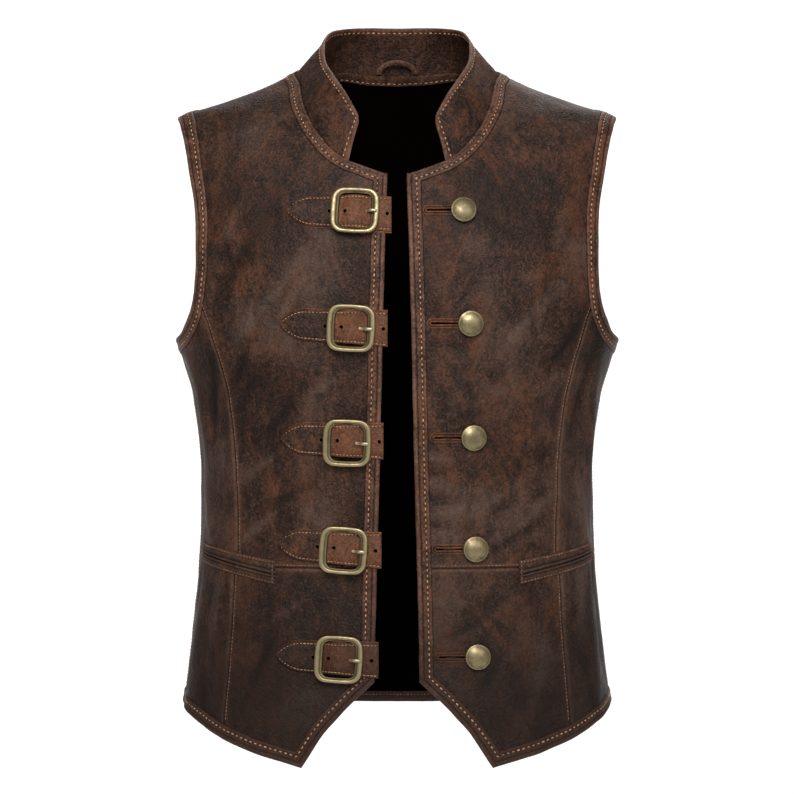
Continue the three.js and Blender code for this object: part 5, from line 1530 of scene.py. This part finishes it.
def strap_frame(strap):
    """A frame on the right front: X towards the front edge, Y into the body, Z up, tilted with the strap."""
    node = front_nodes(strap["x"], strap["z"])[None]
    turn, z = node[:, 0], node[:, 1]
    side = np.array([float(RIGHT)])

    def smooth(s, t, h):
        return body(s, t, h) + slopes(body, s, t, h)[2] * bumps(FOLDS, s, t, h)[..., None]

    inward = Vector(-slopes(smooth, side, turn, z)[2][0])
    across = -(Vector((0, 0, 1)).cross(inward)).normalized()
    up = across.cross(inward).normalized()
    basis = Matrix((across, inward, up)).transposed().to_4x4()
    basis = basis @ Matrix.Rotation(math.radians(strap["tilt"]), 4, "Y")
    basis.translation = Vector(smooth(side, turn, z)[0])
    return basis


def placed(frame_matrix, points):
    """Points of a frame, in the vest's own axes."""
    rotation = np.array(frame_matrix.to_3x3())
    return np.asarray(points, float) @ rotation.T + np.array(frame_matrix.translation)


STRAP_EDGE = (  # from the middle out
    (0.5, 1.85, 0.0, 0.0), (0.82, 1.6, 0.1, 0.2), (0.86, 1.25, 0.0, 0.8), (0.9, 1.55, 0.1, 0.3),
    (0.955, 1.6, 0.5, 0.0), (0.975, 1.3, 0.9, 0.0), (1.0, 0.8, 0.7, 0.1), (1.0, 0.25, 0.4, 0.6),
)
STRAP_PROFILE = table(
    "across out wear shade",
    *((-across, *rest) for across, *rest in reversed(STRAP_EDGE)),
    (0.0, 1.95, 0.1, 0.0),
    *STRAP_EDGE,
    (0.9, 0.0, 0.0, 1.0),
    (-0.9, 0.0, 0.0, 1.0),
)
STRAP_LIFT = 0.55  # of the upper layer over the panel
STRAP_ROW = 1.9  # from a strap's edge to its stitches


class VEST_OT_straps(bpy.types.Operator):
    """Makes the five straps, each of two layers, with their holes"""

    bl_idname = "vest.straps"
    bl_label = "Straps"

    def execute(self, context):
        for number, strap in enumerate(STRAPS, 1):
            upper = self.layer(f"leather_strap_{number}", strap, 0.0, 1.0, STRAP_LIFT, "strap")
            settle(upper, "strap_leather", f"strap_{number}")
            name = f"leather_strap_{number}_under"
            settle(self.layer(name, strap, 0.3, 0.35, 0.1, "lips", strap["under"]), "edge_leather")
            self.eyelets(number, strap)
            self.mark_rows(strap)
        return {"FINISHED"}

    def layer(self, name, strap, grow, thick, lift, material, shift=0.0):
        """One layer, wider by grow all round, thinner by the share thick and shifted up the front."""
        tip, end = strap_ends(strap)
        tip, end = tip - grow, end + 0.4 * grow
        fan = np.array([0, 0.25, 0.8, 1.8, 3.2, 5, 7, 9.5, 12, 15, 18, 21])
        u = np.concatenate([tip + fan, np.linspace(tip + STRAP_POINT, end - 0.8, 34), [end - 0.35, end]])
        across, out = level(STRAP_PROFILE, "across"), level(STRAP_PROFILE, "out")
        half = strap_half(u - tip)[:, None] * (1 + grow / (STRAP_WIDTH / 2))
        droop = np.clip((end - 1 - u) / 6, 0, 1)[:, None] ** 0.5
        ends = np.array([0.35, 0.7] + [1.0] * (len(u) - 4) + [0.8, 0.45])[:, None]
        nodes = strap_nodes(strap, u[:, None] + 0 * across, across * half + shift)
        height = strap_height(u)[:, None] - STRAP_LOW + lift + out * thick * ends * (0.9 + 0.1 * droop)
        rings = on_skin(RIGHT, nodes, height)
        drift = 0.5 + 0.5 * lattice(u[:, None] / 9, 0 * u[:, None], strap["x"])
        values = {
            "wear": level(STRAP_PROFILE, "wear") * (0.3 + 0.7 * drift),
            "shade": level(STRAP_PROFILE, "shade"),
            "warm": np.clip((u[:, None] + 20) / 4, 0, 1),
        }
        return sweep(name, rings, finishes()[material], values=values, sharp=SHARP)

    def eyelets(self, number, strap):
        """Punched holes: a dark hollow in a pressed rim."""
        m = finishes()
        end = strap_ends(strap)[1]
        profile = table(
            "radius out wear shade",
            (2.9, -0.3, 0.0, 0.2), (2.6, 0.10, 0.5, 0.0), (2.2, 0.26, 0.7, 0.0), (1.85, 0.24, 0.3, 0.3),
            (1.6, 0.12, 0.0, 1.0), (1.5, 0.06, 0.0, 1.4),
        )
        count, size = 24, len(profile)
        radius, lift = level(profile, "radius"), level(profile, "out")
        angle = np.linspace(0, 2 * math.pi, count, endpoint=False)[:, None]
        for k, hole in enumerate(h for h in STRAP_HOLES if h < end - 3):
            u = hole + radius * np.cos(angle)
            v = radius * np.sin(angle)
            rings = on_skin(RIGHT, strap_nodes(strap, u, v), self.surface(u, v) + lift)
            # Painted shade: a near-black floor disc on the strap stands for the hole's shadow.
            centre = np.array([hole])
            floor_out = self.surface(centre, 0 * centre) + profile[-1]["out"]
            floor = on_skin(RIGHT, strap_nodes(strap, centre, 0 * centre), floor_out)
            points = np.vstack([rings.reshape(-1, 3), floor])
            last = [i * size + size - 1 for i in range(count)]
            fan = [(last[i], len(points) - 1, last[(i + 1) % count]) for i in range(count)]
            back = [i * size for i in reversed(range(count))]
            values = {
                key: np.append(np.tile([row[key] for row in profile], count), profile[-1][key])
                for key in ("wear", "shade")
            }
            values["warm"] = np.full(len(points), float(hole > -15))
            name = f"eyelet_{number}_{k + 1}"
            faces = quads(count, size, wrap=True)
            paints = [m["strap"], m["inside"]]
            piece = make_piece(name, points, faces, paints, values=values, caps=[*fan, back])
            for polygon in piece.data.polygons:
                polygon.material_index = int(len(polygon.vertices) == 3)
            settle(piece, "strap_leather")

    @staticmethod
    def surface(u, v):
        """How high the strap's outer face lies over the panel."""
        crown = np.interp(np.abs(v) / (STRAP_WIDTH / 2), (0, 0.5, 0.76), (1.95, 1.85, 1.6))
        return strap_height(u) - STRAP_LOW + STRAP_LIFT + crown

    def mark_rows(self, strap):
        """The stitches run from the square end round the point and back."""
        tip, end = strap_ends(strap)
        bend = tip + np.array([2.6, 3.6, 5.2, 7.5, 10, 13, 17, 21])
        u = np.concatenate([bend, np.linspace(tip + STRAP_POINT, end - 3, 30)])
        half = np.maximum(strap_half(u - tip) - STRAP_ROW, 0.0)
        top = strap_height(u) - STRAP_LOW + STRAP_LIFT + 1.42
        upper = on_skin(RIGHT, strap_nodes(strap, u, half), top)
        lower = on_skin(RIGHT, strap_nodes(strap, u, -half), top)
        note_stitches("straps", np.vstack([upper[::-1], lower]), False, "fine")


class VEST_OT_buckles(bpy.types.Operator):
    """Makes the five brass frames with their centre bars"""

    bl_idname = "vest.buckles"
    bl_label = "Buckles"

    def outline(self, width, height, corner, swell, arc=9):
        """A rounded rectangle whose sides swell slightly."""
        points = []
        corners = ((1, 1), (-1, 1), (-1, -1), (1, -1))

        def on_corner(quarter, angle):
            sx, sz = corners[quarter % 4]
            return np.array((
                sx * (width / 2 - corner) + corner * math.cos(angle),
                sz * (height / 2 - corner) + corner * math.sin(angle),
            ))

        for quarter in range(4):
            points += [on_corner(quarter, (quarter + i / arc) * math.pi / 2) for i in range(arc + 1)]
            angle = (quarter + 1) * math.pi / 2
            start, stop = points[-1], on_corner(quarter + 1, angle)
            outwards = np.array((math.cos(angle), math.sin(angle)))
            for share in np.arange(1, 7) / 7:
                points.append(start + (stop - start) * share + swell * math.sin(share * math.pi) * outwards)
        return np.array(points)

    def execute(self, context):
        b = BUCKLE
        outer = self.outline(b["width"], b["height"], b["corner"], 0.4)
        inner = self.outline(b["width"] - 2 * b["side"], b["height"] - 2 * b["end"], b["corner"] - 5.5, 0.2)
        # Across the bar from the outside (0) to the window (1): height share, wear with painted highlight,
        # painted shade.
        section = table(
            "across high wear shade",
            (0.05, 0.0, 0.0, 0.6), (0.0, 0.2, 0.2, 0.3), (0.0, 0.55, 0.4, 0.0), (0.04, 0.82, 0.8, 0.0),
            (0.14, 0.97, 0.7, 0.0), (0.3, 1.0, 0.35, 0.0), (0.46, 0.98, 0.1, 0.0), (0.58, 0.9, 0.0, 0.1),
            (0.66, 0.7, 0.0, 0.5), (0.74, 0.56, 0.1, 0.4), (0.84, 0.5, 0.2, 0.4), (0.92, 0.4, 0.0, 0.9),
            (0.98, 0.25, 0.0, 1.0), (0.98, 0.1, 0.0, 1.2), (0.93, 0.0, 0.0, 1.2),
        )
        across, high = level(section, "across")[..., None], level(section, "high")
        values = {key: level(section, key) for key in ("wear", "shade")}
        for number, strap in enumerate(STRAPS, 1):
            basis = strap_frame(strap)
            flat = outer[:, None] + (inner - outer)[:, None] * across
            uneven = lattice(np.arange(len(outer))[:, None] / 8.0, 0.0 * high, number)
            flat = flat * (1 + 0.004 * uneven)[..., None]
            lift = -(b["low"] + b["thick"] * high) + 0 * flat[..., 0]
            rings = placed(basis, np.stack([flat[..., 0], lift, flat[..., 1]], axis=-1))
            hoop = sweep(f"brass_buckle_{number}", rings, finishes()["brass"], True, values, sharp=55)
            self.add_bar(hoop, basis)
            settle(hoop, "brass", f"buckle_{number}")
        return {"FINISHED"}

    def add_bar(self, hoop, basis):
        """Joins the round centre bar to the frame's mesh."""
        reach = BUCKLE["height"] / 2 - BUCKLE["end"] / 2
        angle = np.linspace(0, 2 * math.pi, 12, endpoint=False)
        x, y = CENTRE_BAR_RADIUS * np.cos(angle), CENTRE_BAR_RADIUS * np.sin(angle) - CENTRE_BAR_HEIGHT
        rings = np.array([np.stack([x, y, np.full_like(x, z)], axis=-1) for z in (-reach, reach)])
        values = {"wear": 0.0, "shade": 1.2}
        merge(hoop, sweep("bar", placed(basis, rings), finishes()["brass"], values=values))


class VEST_OT_prongs(bpy.types.Operator):
    """Makes the prongs, which turn on the centre bars"""

    bl_idname = "vest.prongs"
    bl_label = "Prongs"

    def execute(self, context):
        brass = finishes()["pale_brass"]
        bar, top = CENTRE_BAR_HEIGHT, BUCKLE["low"] + BUCKLE["thick"] + SEAM_GAP
        path = np.array([
            (1.6, bar), (5.0, bar - 0.4), (10.0, bar - 0.8), (12.2, bar + 0.9), (13.8, top - 0.3),
            (16.5, top), (19.0, top - 0.05), (20.2, top - 0.25), (PRONG["reach"], top - 0.5),
        ])
        half, thick = PRONG["width"] / 2, PRONG["thick"]
        angle = np.linspace(0, 2 * math.pi, 12, endpoint=False)
        size = np.array([1.0, 1, 1, 1, 1, 0.98, 0.9, 0.72, 0.4])
        for number, strap in enumerate(STRAPS, 1):
            basis = strap_frame(strap)
            rings = []
            for (u, out), share in zip(path, size):
                y = out + thick / 2 + share * thick / 2 * np.sin(angle)
                rings.append(np.stack([np.full_like(y, u), -y, share * half * np.cos(angle)], axis=-1))
            values = {"wear": 0.5, "shade": 0.0}
            rings = placed(basis, np.array(rings))
            piece = sweep(f"brass_prong_{number}", rings, brass, values=values, sharp=SHARP)
            radius = CENTRE_BAR_RADIUS + SEAM_GAP
            ring = ((radius, -half), (PRONG["ring"], -half), (PRONG["ring"], half), (radius, half))
            hoop = [
                [(r * math.cos(turn), -bar - r * math.sin(turn), z) for r, z in ring]
                for turn in np.linspace(0, 2 * math.pi, 20, endpoint=False)
            ]
            values = {"wear": 0.1, "shade": 0.4}
            merge(piece, sweep("loop", placed(basis, np.array(hoop)), brass, True, values, sharp=40))
            settle(piece, "brass", f"prong_{number}")
        return {"FINISHED"}


# ------------------------------------------------------------------ buttons and buttonholes


class VEST_OT_buttons(bpy.types.Operator):
    """Makes the domed buttons on their shanks"""

    bl_idname = "vest.buttons"
    bl_label = "Buttons"

    def execute(self, context):
        r = BUTTON_RADIUS
        profile = table(
            "r out wear shade",
            (0.01, 0.3, 0, 1), (2.6, 0.3, 0, 1), (3.4, 0.5, 0, 1), (3.4, 2.0, 0, 1), (r - 1.4, 2.2, 0, 0.9),
            (r - 0.4, 2.5, 0.1, 0.5), (r, 3.1, 0.5, 0.1), (r - 0.05, 3.7, 0.9, 0), (r - 0.5, 4.15, 0.7, 0),
            (r - 1.2, 4.3, 0.1, 0.3), (r - 1.9, 4.55, 0.0, 0.35), (r - 3.0, 5.25, 0.2, 0),
            (r - 4.5, 6.0, 0.3, 0), (r - 6.5, 6.75, 0.3, 0), (r - 8.6, 7.2, 0.2, 0),
            (r - 10.4, 7.38, 0.2, 0), (0.01, BUTTON_HEIGHT, 0.2, 0),
        )
        radius, out = level(profile, "r"), level(profile, "out")
        count, size = 56, len(profile)
        angle = np.linspace(0, 2 * math.pi, count, endpoint=False)[:, None]
        faces = quads(count, size, wrap=True)
        caps = [[i * size for i in range(count)], [i * size + size - 1 for i in reversed(range(count))]]
        values = {key: np.tile([row[key] for row in profile], count) for key in ("wear", "shade")}
        for number, button in enumerate(BUTTONS, 1):
            node = front_nodes(button["x"], button["z"])[None]
            side = np.array([float(LEFT)])
            normal = slopes(body, side, node[:, 0], node[:, 1])[2][0]
            place = on_skin(LEFT, node)[0]
            east = unit(np.cross(np.array([0.0, 0.0, 1.0]), normal))
            north = np.cross(normal, east)
            dented = (radius * (1 + 0.006 * lattice(angle / 0.7, out / 1.5, number)))[..., None]
            turned = np.cos(angle)[..., None] * east + np.sin(angle)[..., None] * north
            points = place + dented * turned
            points = (points + (out + 0 * angle)[..., None] * normal).reshape(-1, 3)
            name, brass = f"brass_button_{number}", [finishes()["button_brass"]]
            piece = make_piece(name, points, faces, brass, values=values, caps=caps, sharp=50)
            settle(piece, "brass", f"button_{number}")
        return {"FINISHED"}


LIPS = table(
    "inn out wear shade",
    (0.0, -0.2, 0.0, 1.0), (-0.2, 0.3, 0.3, 0.4), (0.3, 0.9, 0.7, 0.0), (1.0, 1.1, 0.6, 0.0),
    (1.6, 0.8, 0.1, 0.6), (1.9, 0.6, 0.0, 1.0), (2.2, 1.0, 0.2, 0.3), (2.9, 1.5, 0.8, 0.0),
    (3.6, 1.4, 0.6, 0.0), (4.0, 1.0, 0.2, 0.4), (LIP_WIDTH, -0.2, 0.0, 1.3),
)


class VEST_OT_buttonholes(bpy.types.Operator):
    """Makes the bound buttonholes"""

    bl_idname = "vest.buttonholes"
    bl_label = "Buttonholes"

    def execute(self, context):
        for number, button in enumerate(BUTTONS, 1):
            middle = button["hole"] - 1.2 + BUTTONHOLE_LENGTH / 2
            radius = BUTTONHOLE_HEIGHT / 2
            straight = BUTTONHOLE_LENGTH / 2 - radius
            outline = []
            for centre, start in ((straight, -90), (-straight, 90)):
                for turn in np.linspace(0, 180, 11):
                    angle = math.radians(start + turn)
                    outline.append((middle + centre + radius * math.cos(angle), radius * math.sin(angle)))
                edge = 1 if centre > 0 else -1
                for share in np.linspace(0, 1, 9)[1:-1]:
                    outline.append((middle + edge * straight * (1 - 2 * share), edge * radius))
            outline = np.array(outline)
            row = front_nodes(outline[:, 0], button["z"] + outline[:, 1])
            rim = Rim(LEFT, [row], LEFT, width=LIP_WIDTH, closed=True)
            make_strip(f"buttonhole_{number}", rim, LIPS, number, "lips")
            self.slit(number, Rim(LEFT, [row], LEFT, width=SLIT_DISTANCE, closed=True))
        return {"FINISHED"}

    def slit(self, number, rim):
        """A near-black sheet in the slit, a little over the panel: painted shade for the opening."""
        line = rim.line(SLIT_DISTANCE, 0.18)
        count = len(line)
        points = np.vstack([line, rim.line(SLIT_DISTANCE, -0.3)])
        faces = np.array([(k, (k + 1) % count, (k + 1) % count + count, k + count) for k in range(count)])
        caps = [list(range(count))[::-1], list(range(count, 2 * count))]
        values = {"wear": 0.0, "shade": 1.0}
        inside = [finishes()["inside"]]
        settle(make_piece(f"slit_{number}", points, faces, inside, values=values, caps=caps), "leather")


class VEST_OT_stitching(bpy.types.Operator):
    """Sews every row of stitches that the pieces have marked"""

    bl_idname = "vest.stitching"
    bl_label = "Stitching"

    def execute(self, context):
        tree = stitch_tree()
        for seed, ((group, kind), lines) in enumerate(STITCH_LINES.items()):
            sew(f"stitches_{group}", lines, tree, seed, kind)
        return {"FINISHED"}


# ------------------------------------------------------------------ the stage


class VEST_OT_stage(bpy.types.Operator):
    """Sets the floor, the lights and the camera"""

    bl_idname = "vest.stage"
    bl_label = "Stage"

    DISTANCE = 3.5  # of the camera, in metres
    MIDDLE_Z = -0.309
    LENS, SENSOR = 167.0, 36
    DAYLIGHT = 0.32
    LIGHTS = table(
        "name place aim size power",
        ("key light", (-0.15, -1.7, 0.9), (0, 0, -0.25), 1.1, 32),
        ("fill light", (1.5, -2.0, 0.6), (0, 0, -0.2), 1.6, 9),
        ("rim light", (0.4, 2.0, 1.7), (0, 0, -0.3), 1.6, 20),
        ("backdrop light", (-1.3, 3.2, 1.5), (-0.39, 4.6, -0.7), 1.2, 36),
        ("backdrop light", (1.3, 3.2, 1.5), (0.39, 4.6, -0.7), 1.2, 36),
    )

    def execute(self, context):
        scene = context.scene
        self.backdrop()
        for lamp in self.LIGHTS:
            self.light(**lamp)
        world = bpy.data.worlds.new("soft studio")
        world.use_nodes = True
        background = world.node_tree.nodes["Background"]
        background.inputs["Color"].default_value = (1, 1, 1, 1)
        background.inputs["Strength"].default_value = self.DAYLIGHT
        scene.world = world
        scene.view_settings.view_transform = "Standard"
        camera = show("camera", bpy.data.cameras.new("camera"))
        camera.location = (0, -self.DISTANCE, self.MIDDLE_Z)
        camera.rotation_euler = (math.pi / 2, 0, 0)
        camera.data.lens = self.LENS
        camera.data.sensor_width = self.SENSOR
        scene.camera = camera
        return {"FINISHED"}

    def light(self, name, place, aim, size, power):
        data = bpy.data.lights.new(name, "AREA")
        data.shape = "DISK"
        data.size = size
        data.energy = power
        lamp = show(name, data)
        lamp.location = place
        lamp.rotation_euler = (Vector(aim) - Vector(place)).to_track_quat("-Z", "Y").to_euler()

    def backdrop(self):
        """A pale floor that sweeps up behind."""
        floor, back, rise, bend = -0.95, 4.8, 3.6, 1.2
        line = [(-6.0, floor)]
        for angle in np.linspace(0, math.pi / 2, 16):
            line.append((back - bend + bend * math.sin(angle), floor + bend - bend * math.cos(angle)))
        line.append((back, rise))
        points = [(x, y, z) for x in (-6, 6) for y, z in line]
        count = len(line)
        faces = [(k, k + count, k + count + 1, k + 1) for k in range(count - 1)]
        mesh = bpy.data.meshes.new("floor")
        mesh.from_pydata(points, [], faces)
        mesh.polygons.foreach_set("use_smooth", [True] * len(faces))
        mesh.materials.append(plain("pale floor", (0.9, 0.9, 0.9)))
        show("floor", mesh)


class VEST_PT_panel(bpy.types.Panel):
    """Lists the steps that build the vest"""

    bl_idname = "VEST_PT_panel"
    bl_label = "Leather vest"
    bl_space_type = "VIEW_3D"
    bl_region_type = "UI"
    bl_category = "Vest"

    def draw(self, context):
        settings = context.scene.vest
        for name in VestSettings.__annotations__:
            self.layout.prop(settings, name)
        for step in STEP_ORDER:
            self.layout.operator(step.bl_idname)


STEP_ORDER = (
    VEST_OT_panels,
    VEST_OT_bindings,
    VEST_OT_seam_rows,
    VEST_OT_collar,
    VEST_OT_hanger_loop,
    VEST_OT_pockets,
    VEST_OT_straps,
    VEST_OT_buckles,
    VEST_OT_prongs,
    VEST_OT_buttons,
    VEST_OT_buttonholes,
    VEST_OT_stitching,
    VEST_OT_stage,
)
CLASSES = (VestSettings, *STEP_ORDER, VEST_PT_panel)


def register():
    for cls in CLASSES:
        bpy.utils.register_class(cls)
    bpy.types.Scene.vest = bpy.props.PointerProperty(type=VestSettings)


def unregister():
    del bpy.types.Scene.vest
    for cls in reversed(CLASSES):
        bpy.utils.unregister_class(cls)


def main():
    register()
    for step in STEP_ORDER:
        group, name = step.bl_idname.split(".")
        getattr(getattr(bpy.ops, group), name)()


if __name__ == "__main__":
    main()
